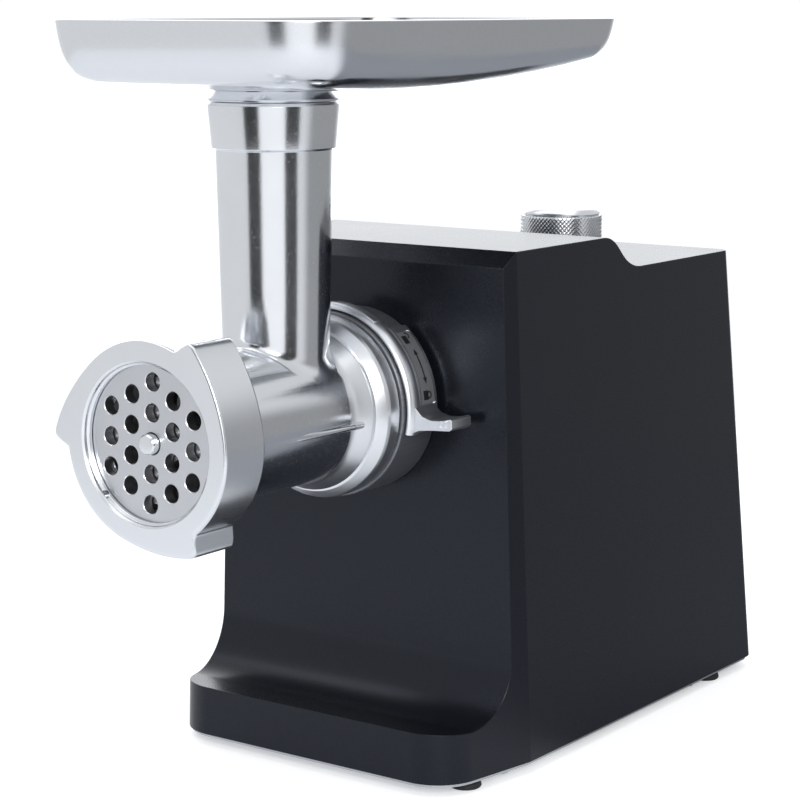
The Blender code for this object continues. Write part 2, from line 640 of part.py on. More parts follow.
def build_controls():
    where = guide("knob_axis", KNOB_X, KNOB_Y, 0, "up")
    low = DECK_Z + 0.6
    shape = [(0, 183), (3, 183), (3, low), (KNOB_R - 0.6, low), (KNOB_R, low + 0.6),
             (KNOB_R, KNOB_TOP - 3.2), (KNOB_R - 0.4, KNOB_TOP - 2.8), (KNOB_R - 2.2, KNOB_TOP - 0.6),
             (KNOB_R - 3.2, KNOB_TOP), (0, KNOB_TOP)]
    turned("control_knob", shape, where, SATIN, 32)
    switch = block("speed_switch", (-13, -13, 176), (13, 13, 190), where, NYLON_DARK)
    cut(switch, rods("switch_hole", [(0, 0)], 3.4, 182, 195, where))

    board = block("control_board", (-58, 60, 118), (-8, 128, 119.6), FLOOR, BOARD)
    join(board, rods("capacitors", [(-48, 72), (-48, 90)], 6, 119, 138, FLOOR, sides=20))
    join(board, block("choke", (-34, 66, 119), (-14, 86, 133), FLOOR))
    join(board, block("terminals", (-52, 112, 119), (-16, 124, 130), FLOOR))

    inlet = block("mains_inlet", (-52, 148, 20), (-24, 166.3, 40), FLOOR, NYLON_DARK)
    cut(inlet, block("inlet_mouth", (-49, 152, 23), (-27, 176, 37), FLOOR))
    for x, z in ((-44, 28), (-38, 32), (-32, 28)):
        join(inlet, block("inlet_pin", (x - 1, 151, z - 2), (x + 1, 162, z + 2), FLOOR))


clear_scene()
PARTS = collection("electric_meat_grinder")
CUTTERS = collection("cutters")

BLACK = look("black_satin_shell", (0.030, 0.032, 0.037), 0.0, 0.42)
SATIN = look("satin_aluminium", (0.80, 0.81, 0.82), 1.0, 0.30)
CAST = look("cast_aluminium", (0.78, 0.79, 0.80), 1.0, 0.36)
PLATE_STEEL = look("ground_steel", (0.55, 0.56, 0.58), 1.0, 0.34)
COLLAR = look("dark_anodised_collar", (0.10, 0.10, 0.11), 0.6, 0.42)
GREY = look("grey_label", (0.36, 0.37, 0.38), 0.4, 0.45)
STEEL = look("plain_steel", (0.62, 0.62, 0.63), 1.0, 0.38)
BRONZE = look("bronze", (0.62, 0.45, 0.24), 1.0, 0.35)
COPPER = look("copper_winding", (0.70, 0.32, 0.16), 1.0, 0.35)
NYLON = look("white_nylon", (0.82, 0.80, 0.74), 0.0, 0.45)
NYLON_DARK = look("dark_nylon", (0.06, 0.06, 0.065), 0.0, 0.50)
RUBBER = look("black_rubber", (0.02, 0.02, 0.02), 0.0, 0.75)
BOARD = look("circuit_board", (0.05, 0.22, 0.10), 0.0, 0.50)

HEAD = guide("head_axis", 0, PLATE_Y, AXIS_Z)
FIN = guide("fin_level", 0, PLATE_Y, 0, "up")
TUBE = guide("tube_axis", 0, PLATE_Y + TUBE_STATION, 0, "up")
FLOOR = guide("footprint", 0, 0, 0, "up")
SIDEWAYS = guide("side_view", 0, 0, 0, "sideways")
BACKWARD = guide("gearbox_face", 0, 0, 0)
MOTOR = guide("motor_axis", MOTOR_AXIS[0], 0, MOTOR_AXIS[1])

build_housing()
build_head()
build_tray()
build_lock()
build_gears()
build_gearbox()
build_motor()
build_controls()
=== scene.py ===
"""Visual model of an upright electric meat grinder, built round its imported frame.

Lengths inside the functions are in millimetres and become metres when a mesh is made. Pieces of the
head are placed by their station, the distance behind the front of the hole plate, and by an angle
seen from the front, counter-clockwise from +X.
"""
from math import atan, cos, degrees, hypot, pi, radians, sin, sqrt, tan, tau

import bmesh
import bpy
from bpy.props import FloatProperty, FloatVectorProperty, IntProperty, PointerProperty
from bpy.types import Operator, Panel, PropertyGroup
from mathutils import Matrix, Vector


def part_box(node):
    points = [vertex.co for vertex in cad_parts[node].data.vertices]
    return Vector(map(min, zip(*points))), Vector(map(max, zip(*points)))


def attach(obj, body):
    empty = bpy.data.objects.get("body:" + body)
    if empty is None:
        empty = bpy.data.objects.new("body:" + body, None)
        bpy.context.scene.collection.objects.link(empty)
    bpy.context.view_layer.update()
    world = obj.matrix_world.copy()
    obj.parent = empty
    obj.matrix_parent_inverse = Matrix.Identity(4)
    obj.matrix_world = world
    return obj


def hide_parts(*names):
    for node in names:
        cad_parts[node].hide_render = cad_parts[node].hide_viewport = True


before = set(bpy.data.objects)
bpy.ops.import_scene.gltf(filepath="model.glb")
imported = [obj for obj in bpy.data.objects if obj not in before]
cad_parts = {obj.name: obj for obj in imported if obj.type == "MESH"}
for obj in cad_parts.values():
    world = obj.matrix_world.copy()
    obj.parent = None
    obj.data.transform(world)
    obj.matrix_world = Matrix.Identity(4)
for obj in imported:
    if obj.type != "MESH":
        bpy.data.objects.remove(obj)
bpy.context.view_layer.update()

bl_info = {
    "name": "Meat grinder",
    "version": (1, 0, 0),
    "blender": (4, 5, 0),
    "location": "View3D > Sidebar > Grinder",
    "description": "Builds the visible pieces and finishes of an electric meat grinder",
    "category": "Object",
}

MM = 0.001


def span(node):
    """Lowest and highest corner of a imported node, in millimetres."""
    return [[value / MM for value in corner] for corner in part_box(node)]


PLATE_LOW, PLATE_HIGH = span("hole_plate")
SHELL_LOW, SHELL_HIGH = span("housing_shell")
TRAY_LOW, TRAY_HIGH = span("feed_tray")
KNOB_LOW, KNOB_HIGH = span("control_knob")
COLLAR_LOW, COLLAR_HIGH = span("head_collar")
FEET = ("front_left_foot", "front_right_foot", "rear_left_foot", "rear_right_foot")

AXIS_Z = (PLATE_LOW[2] + PLATE_HIGH[2]) / 2
PLATE_Y = PLATE_LOW[1]
PLATE_R = (PLATE_HIGH[2] - PLATE_LOW[2]) / 2
TUBE_STATION = 73.5
TUBE_Y = PLATE_Y + TUBE_STATION
TUBE_TOP = AXIS_Z + 123.4
TRAY_FLOOR_Z = 278.4
COLLAR_R = (COLLAR_HIGH[2] - COLLAR_LOW[2]) / 2
KNOB_X = (KNOB_LOW[0] + KNOB_HIGH[0]) / 2
KNOB_Y = (KNOB_LOW[1] + KNOB_HIGH[1]) / 2
KNOB_R = (KNOB_HIGH[0] - KNOB_LOW[0]) / 2
KNOB_TOP = KNOB_HIGH[2]

BARREL_R = 29.0
BORE_R = 26.0
LOCK_R = 41.0
LOCK_FRONT = 108.0
LOCK_BACK = 126.3
LOCK_TRAVEL = 35.0
PLATE_THICK = 5.0
PIN_BORE_R = 4.2
NUT_RIM_R = 39.0
FLANGE_STATIONS = (85.0, 106.0)

# Feed tray
TRAY_CORNER_R = 28.0
TRAY_RISE = 0.00052
TRAY_LOW_Y = PLATE_Y + 88.0
NECK_R = 20.9
NECK_END_Z = 259.4

# Housing
TOP_Z = SHELL_HIGH[2]
SHELL_Z = SHELL_LOW[2]
DECK_Z = 199.8
WALL = 3.0
HALF_W_LOW = SHELL_HIGH[0]
HALF_W_TOP = 71.2
EDGE_Y_LOW = PLATE_Y + 139.6
EDGE_Y_TOP = PLATE_Y + 137.1
BACK_Y_LOW = SHELL_HIGH[1]
BACK_Y_DECK = BACK_Y_LOW - 20.0
PANEL_Y = PLATE_Y + 129.3
PANEL_TOP_Z = 208.1
LIP_Y = SHELL_LOW[1]
LIP_CORNER_X = 69.6
BASE_TOP_Z = 25.0
LIP_TOP_Z = 26.2
SWEEP_R = 24.0
LIP_R = 20.0
REAR_CORNER_R = 6.0
TOP_BACK_Y = PLATE_Y + 209.2
STEP_ANGLE = radians(44.0)
VENTS = 7
VENT_WIDE, VENT_TALL = 60.0, 3.2
VENT_LOW_Z, VENT_PITCH = 62.0, 8.0

# Stage
FLOOR_R = 800.0
CAMERA_LENS = 104.04
CAMERA_PLACE = (0.564, PLATE_Y * MM - 0.628, 0.3104)
CAMERA_TILT, CAMERA_TURN = radians(80.29), radians(35.68)


def length(name, about, default, low, high):
    return FloatProperty(name=name, description=about, default=default, min=low, max=high,
                         unit="LENGTH")


def tint(name, about, default):
    return FloatVectorProperty(name=name, description=about, default=default, min=0.0, max=1.0,
                               subtype="COLOR")


class GrinderSizes(PropertyGroup):
    """Sizes of the visible details, in metres."""

    edge_radius: length("Housing edge", "Radius of the housing's edges", 0.0016, 0.0002, 0.003)
    lobe_reach: length("Lobe reach", "Radius at the tip of a ring nut lobe", 0.046, 0.040, 0.050)
    hole_radius: length("Plate hole", "Radius of the holes in the plate", 0.0035, 0.001, 0.005)
    hole_pitch: length("Hole pitch", "Distance between neighbouring holes", 0.0116, 0.006, 0.014)
    tray_wall: length("Tray wall", "Thickness of the feed tray's sheet", 0.0016, 0.0005, 0.003)
    knurl_depth: length("Knurl depth", "Depth of the knob's diamonds", 0.00045, 0.0001, 0.001)
    knurl_count: IntProperty(name="Knurl count", description="Diamonds round the knob",
                             default=64, min=24, max=120)


class GrinderFinishes(PropertyGroup):
    """Colours of the finishes and the strength of the studio light."""

    shell: tint("Shell", "Colour of the moulded housing", (0.0050, 0.0058, 0.0085))
    bright_metal: tint("Bright metal", "Colour of polished aluminium", (0.83, 0.845, 0.87))
    plate_steel: tint("Plate steel", "Colour of the ground hole plate", (0.62, 0.63, 0.65))
    collar: tint("Collar", "Colour of the dark collar", (0.20, 0.205, 0.225))
    label: tint("Label", "Colour of the lock label", (0.19, 0.195, 0.205))
    studio: FloatProperty(name="Studio light", description="Strength of the light tent",
                          default=1.0, min=0.0, max=5.0)


# Mesh making

def head_point(radius, turn, station):
    return (radius * cos(turn), PLATE_Y + station, AXIS_Z + radius * sin(turn))


def upright(x, y):
    """Points round an upright axis."""
    return lambda radius, turn, height: (x + radius * cos(turn), y + radius * sin(turn), height)


def arc(centre, radius, start, end, count):
    """Points on a circle from one angle to the other, in degrees."""
    turns = [radians(start + (end - start) * i / count) for i in range(count + 1)]
    return [(centre[0] + radius * cos(a), centre[1] + radius * sin(a)) for a in turns]


def eased(corners, closed=True, steps=4):
    """An outline whose corners (a, b, radius) are rounded; a corner with no radius stays sharp."""
    outline = []
    count = len(corners)
    for i, corner in enumerate(corners):
        here = Vector(corner[:2])
        at_end = not closed and i in (0, count - 1)
        if len(corner) < 3 or at_end:
            outline.append(tuple(here))
            continue
        before = Vector(corners[i - 1][:2]) - here
        after = Vector(corners[(i + 1) % count][:2]) - here
        bend = before.angle(after)
        reach = min(corner[2] / tan(bend / 2), before.length * 0.48, after.length * 0.48)
        back, ahead = before.normalized() * reach, after.normalized() * reach
        for step in range(steps + 1):
            t = step / steps
            outline.append(tuple(here + back * (1 - t) ** 2 + ahead * t ** 2))
    return outline


def skin(rings, ends="capped"):
    """A mesh through rings of equally many points: its ends are capped, joined or open."""
    bm = bmesh.new()
    made = [[bm.verts.new(point) for point in ring] for ring in rings]
    pairs = list(zip(made, made[1:]))
    if ends == "joined":
        pairs.append((made[-1], made[0]))
    for lower, upper in pairs:
        for i in range(len(lower)):
            j = (i + 1) % len(lower)
            bm.faces.new((lower[i], lower[j], upper[j], upper[i]))
    if ends == "capped":
        bm.faces.new(made[0])
        bm.faces.new(made[-1])
    return bm


def hoop(place, radius, height, steps=144):
    """A ring of points round an axis."""
    return [place(radius, tau * i / steps, height) for i in range(steps)]


def turned(profile, place, ends="joined", steps=144):
    """(radius, height) points turned round an axis, as a closed ring or with flat end caps."""
    return skin([hoop(place, radius, height, steps) for radius, height in profile], ends)


def swept(outline, place, low, high):
    """A flat outline carried from low to high by a function of (a, b, height)."""
    return skin([[place(a, b, height) for a, b in outline] for height in (low, high)])


def head_plane(a, b, station):
    return (a, PLATE_Y + station, AXIS_Z + b)


def flat(a, b, height):
    return (a, b, height)


def sideways(a, b, x):
    return (x, a, b)


def circle(centre, radius, count):
    return arc(centre, radius, 0, 360, count)[:-1]


def sector(inner, outer, start, end, count, ease=0.0):
    """A ring segment seen from the front, between two angles in degrees, with softened ends."""
    outside = arc((0, 0), outer, start, end, count)
    inside = arc((0, 0), inner, end, start, count)
    if not ease:
        return outside + inside
    corners = []
    for side in (outside, inside):
        corners += [(*side[0], ease), *side[1:-1], (*side[-1], ease)]
    return eased(corners, steps=3)


def mesh_of(name, bm):
    bmesh.ops.recalc_face_normals(bm, faces=bm.faces)
    bmesh.ops.scale(bm, vec=(MM, MM, MM), verts=bm.verts)
    mesh = bpy.data.meshes.new(name)
    bm.to_mesh(mesh)
    bm.free()
    return mesh


def thing(name, bm):
    """A new object from a mesh in millimetres."""
    made = bpy.data.objects.new(name, mesh_of(name, bm))
    bpy.context.scene.collection.objects.link(made)
    return made


def prism(name, outline, place, low, high):
    """A new object: a flat outline carried from low to high."""
    return thing(name, swept(outline, place, low, high))


def soft_prism(name, outline, place, low, high, edge):
    piece = prism(name, outline, place, low, high)
    soften(piece, edge)
    settle(piece)
    return piece


def soften(piece, width, segments=3, angle=28.0):
    bevel = piece.modifiers.new("soft edges", "BEVEL")
    bevel.width = width * MM
    bevel.segments = segments
    bevel.limit_method = "ANGLE"
    bevel.angle_limit = radians(angle)
    bevel.use_clamp_overlap = True
    bevel.miter_outer = "MITER_ARC"


def settle(piece):
    """Replace a piece's mesh by the mesh that its modifiers make."""
    graph = bpy.context.evaluated_depsgraph_get()
    mesh = bpy.data.meshes.new_from_object(piece.evaluated_get(graph))
    piece.modifiers.clear()
    piece.data = mesh


def carve(piece, *tools, operation="DIFFERENCE"):
    """Cut tools out of a piece, or join them to it, and remove the tools."""
    for tool in tools:
        modifier = piece.modifiers.new("carve", "BOOLEAN")
        modifier.operation = operation
        modifier.object = tool
        modifier.solver = "EXACT"
    settle(piece)
    for tool in tools:
        bpy.data.objects.remove(tool, do_unlink=True)


def finished(piece, finish, body, slot, *replaced, sharp=32.0, weighted=False):
    """Shade a piece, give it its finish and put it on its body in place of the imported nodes."""
    piece.data.shade_smooth()
    piece.data.set_sharp_from_angle(angle=radians(sharp))
    piece.data.materials.clear()
    piece.data.materials.append(finish)
    if weighted:
        normals = piece.modifiers.new("flat faces stay flat", "WEIGHTED_NORMAL")
        normals.keep_sharp = True
        normals.weight = 80
    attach(piece, body)
    if replaced:
        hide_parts(*replaced)


def second_finish(piece, look, chosen):
    """Give the chosen faces of a finished piece another finish."""
    piece.data.materials.append(finish(look))
    for face in piece.data.polygons:
        face.material_index = int(chosen(face))


# Shader maths

class Signal:
    """A socket's value in a shader; arithmetic on it adds Math nodes."""

    def __init__(self, shader, socket):
        self.shader = shader
        self.socket = socket

    def math(self, operation, first, second=0.0):
        return self.shader.node("ShaderNodeMath", {"operation": operation}, {0: first, 1: second})

    def __add__(self, other):
        return self.math("ADD", self, other)

    def __sub__(self, other):
        return self.math("SUBTRACT", self, other)

    def __rsub__(self, other):
        return self.math("SUBTRACT", other, self)

    def __mul__(self, other):
        return self.math("MULTIPLY", self, other)

    __radd__ = __add__

    def rise(self, low, high):
        """From 0 to 1 as the value goes from low to high, eased at both ends."""
        return self.shader.node("ShaderNodeMapRange", {"interpolation_type": "SMOOTHSTEP"},
                                {"Value": self, "From Min": low, "From Max": high})


class Shader:
    """The node tree of a material or of the world."""

    def __init__(self, tree):
        self.tree = tree

    def node(self, kind, settings=None, values=None, output=0):
        made = self.tree.nodes.new(kind)
        for key, value in (settings or {}).items():
            setattr(made, key, value)
        for key, value in (values or {}).items():
            if isinstance(value, Signal):
                self.tree.links.new(value.socket, made.inputs[key])
            else:
                made.inputs[key].default_value = value
        return Signal(self, made.outputs[output])

    def vector(self, operation, first, second=(0.0, 0.0, 0.0), output=0):
        return self.node("ShaderNodeVectorMath", {"operation": operation}, {0: first, 1: second},
                         output)

    def spot(self, *scale):
        """Position on the piece, optionally stretched along its axes."""
        place = self.node("ShaderNodeTexCoord", output="Object")
        return self.vector("MULTIPLY", place, scale) if scale else place

    def split(self, vector):
        """The three parts of a vector."""
        made = self.tree.nodes.new("ShaderNodeSeparateXYZ")
        self.tree.links.new(vector.socket, made.inputs[0])
        return [Signal(self, part) for part in made.outputs]

    def noise(self, scale, detail=2.0, where=None, roughness=0.5):
        return self.node("ShaderNodeTexNoise", None, {
            "Vector": where or self.spot(), "Scale": scale, "Detail": detail,
            "Roughness": roughness})

    def blend(self, share, first, second):
        values = {0: share, 6: (*first, 1.0), 7: (*second, 1.0)}
        return self.node("ShaderNodeMix", {"data_type": "RGBA"}, values, output=2)


class Finish(Shader):
    """A material: what varies over the surface is fed to the shader, the rest is set on it."""

    def __init__(self, name, colour, roughness, metallic=0.0):
        self.material = bpy.data.materials.new(name)
        self.material.use_nodes = True
        self.material.diffuse_color = (*colour, 1.0)
        super().__init__(self.material.node_tree)
        self.surface = self.tree.nodes["Principled BSDF"]
        self.set("Base Color", (*colour, 1.0))
        self.set("Roughness", roughness)
        self.set("Metallic", metallic)

    def set(self, socket, value):
        if isinstance(value, Signal):
            self.tree.links.new(value.socket, self.surface.inputs[socket])
        else:
            self.surface.inputs[socket].default_value = value

    def mottle(self, share, colour, low, high=1.0):
        """Let the colour vary between two shades of itself."""
        shades = shade_of(colour, low), shade_of(colour, high)
        self.set("Base Color", self.blend(share, *shades))

    def relief(self, height, distance):
        """A bump of the given height in millimetres."""
        values = {"Height": height, "Distance": distance * MM, "Strength": 1.0}
        self.set("Normal", self.node("ShaderNodeBump", None, values))


def shade_of(colour, factor):
    return tuple(min(1.0, channel * factor) for channel in colour)


def satin_shell(colour):
    """Moulded housing: a fine even grain, slightly duller and lighter in places from handling."""
    made = Finish("satin_black_moulding", colour, 0.27)
    made.set("Specular IOR Level", 0.34)
    made.set("Specular Tint", (0.80, 0.87, 1.0, 1.0))
    cloud = made.noise(14.0, 4.0)
    grain = made.noise(2600.0, 2.0)
    made.mottle(cloud, colour, 0.85, 1.2)
    made.set("Roughness", 0.23 + cloud * 0.05 + grain * 0.04)
    made.relief(grain, 0.006)
    return made.material


def polished_casting(colour):
    """Tumble-polished die casting: bright, with a fine peened grain and faint flow marks."""
    made = Finish("polished_casting", colour, 0.18, 1.0)
    peen = made.noise(1500.0, 3.0, roughness=0.65)
    flow = made.noise(1.0, 4.0, made.spot(60.0, 18.0, 60.0))
    speck = made.noise(2400.0, 1.0).rise(0.70, 0.78)
    made.mottle(flow, colour, 0.90)
    made.set("Roughness", 0.07 + peen * 0.08 + flow * 0.06 + speck * 0.2)
    made.relief(peen + speck * 0.5, 0.016)
    return made.material


def bright_sheet(colour):
    """Drawn and polished tray: nearly a mirror, with a light cloudy haze and fine pits."""
    made = Finish("polished_tray", colour, 0.16, 1.0)
    haze = made.noise(26.0, 4.0)
    pits = made.noise(1500.0, 3.0, roughness=0.7)
    worn = made.noise(14.0, 3.0).rise(0.44, 0.60)
    made.mottle(pits, colour, 0.86)
    made.set("Roughness", 0.07 + haze * 0.06 + worn * 0.10 + pits * 0.06)
    made.relief(pits, 0.016)
    return made.material


def blasted_metal(name, colour, roughness):
    """Ring nut, lock ring and flange: even satin from fine blasting."""
    made = Finish(name, colour, roughness + 0.08, 1.0)
    cloud = made.noise(30.0, 3.0)
    grain = made.noise(2100.0, 3.0, roughness=0.7)
    made.mottle(cloud, colour, 0.94)
    made.set("Roughness", roughness + cloud * 0.06 + grain * 0.10)
    made.relief(grain, 0.015)
    return made.material


def rings_round(made, centre, scale, across):
    """Fine turning marks round an axis, as a value from 0 to 1."""
    flattened = made.vector("MULTIPLY", made.vector("SUBTRACT", made.spot(), centre), across)
    distance = made.vector("LENGTH", flattened, output="Value")
    return made.node("ShaderNodeTexNoise", {"noise_dimensions": "1D"},
                     {"W": distance, "Scale": scale, "Detail": 3.0, "Roughness": 0.6})


def ground_steel(colour):
    """Hole plate: ground flat in rings, with a soft sheen."""
    made = Finish("ground_steel", colour, 0.30, 1.0)
    marks = rings_round(made, (0.0, 0.0, AXIS_Z * MM), 2600.0, (1.0, 0.0, 1.0))
    cloud = made.noise(60.0, 3.0)
    made.mottle(cloud, colour, 0.9, 1.08)
    made.set("Roughness", 0.24 + marks * 0.10 + cloud * 0.05)
    made.relief(marks, 0.006)
    return made.material


def dark_collar(colour):
    """Collar: dark metal, finely brushed along its axis."""
    made = Finish("dark_collar", colour, 0.36, 0.75)
    brush = made.noise(1.0, 4.0, made.spot(900.0, 60.0, 900.0), 0.65)
    made.mottle(brush, colour, 0.7, 1.4)
    made.set("Roughness", 0.30 + brush * 0.16)
    made.relief(brush, 0.010)
    return made.material


def printed_label(colour):
    made = Finish("grey_label", colour, 0.42, 0.35)
    brush = made.noise(1.0, 3.0, made.spot(300.0, 1600.0, 300.0))
    made.mottle(brush, colour, 0.9, 1.12)
    made.set("Roughness", 0.38 + brush * 0.10)
    return made.material


def spun_metal(colour, name):
    """Knob: spun top with fine rings round its axis."""
    made = Finish(name, colour, 0.24, 1.0)
    marks = rings_round(made, (KNOB_X * MM, KNOB_Y * MM, 0.0), 3200.0, (1.0, 1.0, 0.0))
    made.mottle(marks, colour, 0.88)
    made.set("Roughness", 0.18 + marks * 0.14)
    made.relief(marks, 0.005)
    return made.material


def grainy(name, colour, roughness, metallic, scale, depth, spread=0.12, stretch=()):
    """A plain finish with its own grain: mouldings, rubber, cast and machined inner pieces."""
    made = Finish(name, colour, roughness, metallic)
    where = made.spot(*stretch) if stretch else None
    grain = made.noise(scale, 3.0, where)
    cloud = made.noise(35.0, 3.0)
    made.mottle(cloud, colour, 1 - spread, 1 + spread)
    made.set("Roughness", roughness - 0.06 + grain * 0.12)
    made.relief(grain, depth)
    return made.material


def enamelled_copper():
    """Coil: fine enamelled wire laid side by side along the coil."""
    colour = (0.62, 0.24, 0.09)
    made = Finish("enamelled_copper", colour, 0.30, 1.0)
    wire = made.node("ShaderNodeTexWave", {"wave_type": "BANDS", "bands_direction": "DIAGONAL"},
                     {"Vector": made.spot(), "Scale": 320.0, "Distortion": 1.2, "Detail": 1.0})
    made.mottle(wire, colour, 0.45)
    made.set("Roughness", 0.42 - wire * 0.16)
    made.relief(wire, 0.25)
    return made.material


def circuit_board():
    """Control board: green lacquer with faint tracks under it."""
    made = Finish("circuit_board", (0.02, 0.13, 0.05), 0.35)
    track = made.node("ShaderNodeTexBrick", None, {"Vector": made.spot(), "Scale": 110.0,
                                                   "Mortar Size": 0.05}, output="Fac")
    made.set("Base Color", made.blend(track, (0.018, 0.11, 0.045), (0.10, 0.30, 0.12)))
    made.relief(track, 0.05)
    return made.material


# Name, colour, roughness, metallic, scale of the grain and its depth; then spread and stretch
GRAINY = {
    "ink": ("label_print", (0.008, 0.008, 0.010), 0.50, 0.0, 700.0, 0.004),
    "rubber": ("black_rubber", (0.016, 0.016, 0.017), 0.72, 0.0, 600.0, 0.05),
    "steel": ("plain_steel", (0.55, 0.56, 0.58), 0.34, 1.0, 1100.0, 0.012),
    "laminations": ("laminated_core", (0.35, 0.36, 0.38), 0.42, 1.0, 1.0, 0.20, 0.2,
                    (30.0, 1400.0, 30.0)),
    "bronze": ("bearing_bronze", (0.55, 0.36, 0.15), 0.36, 1.0, 700.0, 0.02),
    "white nylon": ("white_nylon", (0.74, 0.71, 0.63), 0.46, 0.0, 500.0, 0.01),
    "dark nylon": ("dark_nylon", (0.020, 0.020, 0.022), 0.48, 0.0, 800.0, 0.03),
    # Hole walls: darker than the plate, partly a real drilled finish and partly painted shade in
    # the holes.
    "bore": ("drilled_bore_and_painted_shade", (0.45, 0.45, 0.46), 0.34, 1.0, 900.0, 0.02),
    "auger": ("raw_casting", (0.42, 0.42, 0.43), 0.46, 1.0, 700.0, 0.03),
    "knife": ("dark_blade", (0.34, 0.34, 0.35), 0.38, 1.0, 900.0, 0.02),
}
FINISHES = {}


def finish(name):
    """The finish of that name, made once."""
    if name not in FINISHES:
        look = bpy.context.scene.grinder_finishes
        metal = tuple(look.bright_metal)
        makers = {
            "shell": lambda: satin_shell(tuple(look.shell)),
            "casting": lambda: polished_casting(metal),
            "tray": lambda: bright_sheet(metal),
            "satin": lambda: blasted_metal("satin_metal", metal, 0.15),
            "flange": lambda: blasted_metal("machined_flange", metal, 0.24),
            "plate": lambda: ground_steel(tuple(look.plate_steel)),
            "collar": lambda: dark_collar(tuple(look.collar)),
            "label": lambda: printed_label(tuple(look.label)),
            "knob": lambda: spun_metal(metal, "spun_knob"),
            # Painted shade: a darker copy of the spun metal for the knob's flat top.
            "knob top painted shade": lambda: spun_metal((0.30, 0.30, 0.31), "spun_knob_top_painted_shade"),
            "copper": enamelled_copper,
            "board": circuit_board,
        }
        FINISHES[name] = grainy(*GRAINY[name]) if name in GRAINY else makers[name]()
    return FINISHES[name]


# Housing

def ramp(low, high, z, z_low=SHELL_Z, z_high=TOP_Z):
    return low + (high - low) * (z - z_low) / (z_high - z_low)


def housing_plan(z, inset):
    """Plan at a height: rear corners, then side strips that face slightly forward, then the lip."""
    half = ramp(HALF_W_LOW, HALF_W_TOP, z) - inset
    edge = ramp(EDGE_Y_LOW, EDGE_Y_TOP, z)
    back = ramp(BACK_Y_LOW, BACK_Y_DECK, z, SHELL_Z, DECK_Z) - inset
    lean = (HALF_W_LOW - LIP_CORNER_X) / (EDGE_Y_LOW - LIP_Y)
    radius = LIP_R - inset
    front = LIP_Y + inset
    turn = pi / 2 - atan(lean)
    corner = half - lean * (edge - front)
    right = arc((half - REAR_CORNER_R, back - REAR_CORNER_R), REAR_CORNER_R, 90, 0, 16)
    right.append((half, edge))
    lip_middle = (corner - radius * tan(turn / 2), front + radius)
    right += arc(lip_middle, radius, degrees(turn) - 90, -90, 20)
    left = [(-x, y) for x, y in reversed(right)]
    return [(x, y, z) for x, y in right + left]


def top_step(inset):
    """The S-shaped drop from the main top to the rear deck, as (y, z) points."""
    convex = 16.0 - inset * 0.5
    hollow = 22.0 + inset * 0.5
    angle = degrees(STEP_ANGLE)
    start = TOP_BACK_Y - 4.0 - inset * 0.4
    upper = arc((start, TOP_Z - inset - convex), convex, 90, 90 - angle, 8)
    fall = TOP_Z - DECK_Z - (convex + hollow) * (1 - cos(STEP_ANGLE))
    foot = upper[-1][0] + fall / tan(STEP_ANGLE) + hollow * sin(STEP_ANGLE)
    return upper + arc((foot, DECK_Z - inset + hollow), hollow, 270 - angle, 270, 10)


def housing_side(inset, low):
    """Side view as (y, z) points, from the lip over the sweep, panel and top to the back."""
    sweep_centre = (PANEL_Y - SWEEP_R, BASE_TOP_Z + SWEEP_R)
    outline = [(LIP_Y + inset - 5, low), (LIP_Y + inset - 5, LIP_TOP_Z - inset)]
    outline += arc(sweep_centre, SWEEP_R + inset, -90, 0, 24)
    outline.append((PANEL_Y + inset, PANEL_TOP_Z - inset * 0.4))
    outline.append((EDGE_Y_TOP + inset * 0.6, TOP_Z - inset))
    outline += top_step(inset)
    outline += [(BACK_Y_DECK + 30, DECK_Z - inset), (BACK_Y_DECK + 30, low)]
    return outline


def housing_solid(name, inset, low):
    body = thing(name, skin([housing_plan(z, inset) for z in (low, TOP_Z + 1)]))
    wide = HALF_W_LOW + 10
    side = prism("side_view", housing_side(inset, low), sideways, -wide, wide)
    carve(body, side, operation="INTERSECT")
    return body


def box_tool(low, high):
    outline = [(low[0], low[1]), (high[0], low[1]), (high[0], high[1]), (low[0], high[1])]
    return prism("box_tool", outline, flat, low[2], high[2])


def rounded_slot(wide, tall, middle, depth):
    """A tool for a slot with round ends, cut along Y."""
    end = tall / 2
    half = wide / 2 - end
    right = arc((middle[0] + half, middle[1]), end, -90, 90, 10)
    left = arc((middle[0] - half, middle[1]), end, 90, 270, 10)
    return thing("slot_tool", skin([[(x, y, z) for x, z in right + left] for y in depth]))


def build_shell(sizes):
    shell = housing_solid("housing_shell_visual", 0.0, SHELL_Z)
    soften(shell, sizes.edge_radius / MM, 3, 8.0)
    settle(shell)
    tools = [housing_solid("hollow", WALL, SHELL_Z - 10)]
    tools.append(thing("collar_hole", turned([(36.0, 120.0), (36.0, 140.0)], head_point, "capped")))
    hole = turned([(5.0, 180.0), (5.0, DECK_Z + 5)], upright(KNOB_X, KNOB_Y), "capped", 48)
    tools.append(thing("knob_hole", hole))
    inlet_low, inlet_high = span("mains_inlet")
    tools.append(box_tool((inlet_low[0] - 0.3, inlet_low[1] + 3, inlet_low[2] - 0.3),
                          (inlet_high[0] + 0.3, inlet_high[1] + 15, inlet_high[2] + 0.3)))
    for row in range(VENTS):
        middle = (0.0, VENT_LOW_Z + VENT_PITCH * row)
        depth = (BACK_Y_LOW - 37, BACK_Y_LOW + 5)
        tools.append(rounded_slot(VENT_WIDE, VENT_TALL, middle, depth))
    carve(shell, *tools)
    finished(shell, finish("shell"), "base", "black_shell", "housing_shell", sharp=24.0,
             weighted=True)


def build_feet():
    """Round rubber feet with a bevelled sole, a waist and a shoulder."""
    for node in FEET:
        low, high = span(node)
        x, y = (low[0] + high[0]) / 2, (low[1] + high[1]) / 2
        tall = high[2] - low[2]
        profile = eased([(0.5, 0.0), (6.0, 0.0, 0.4), (6.6, 0.7, 0.3), (6.3, 2.2, 0.5),
                         (5.2, tall, 0.2), (0.5, tall)], closed=False)
        foot = thing(node + "_visual", turned(profile, upright(x, y), "capped", 64))
        finished(foot, finish("rubber"), "base", "rubber", node)


# Head

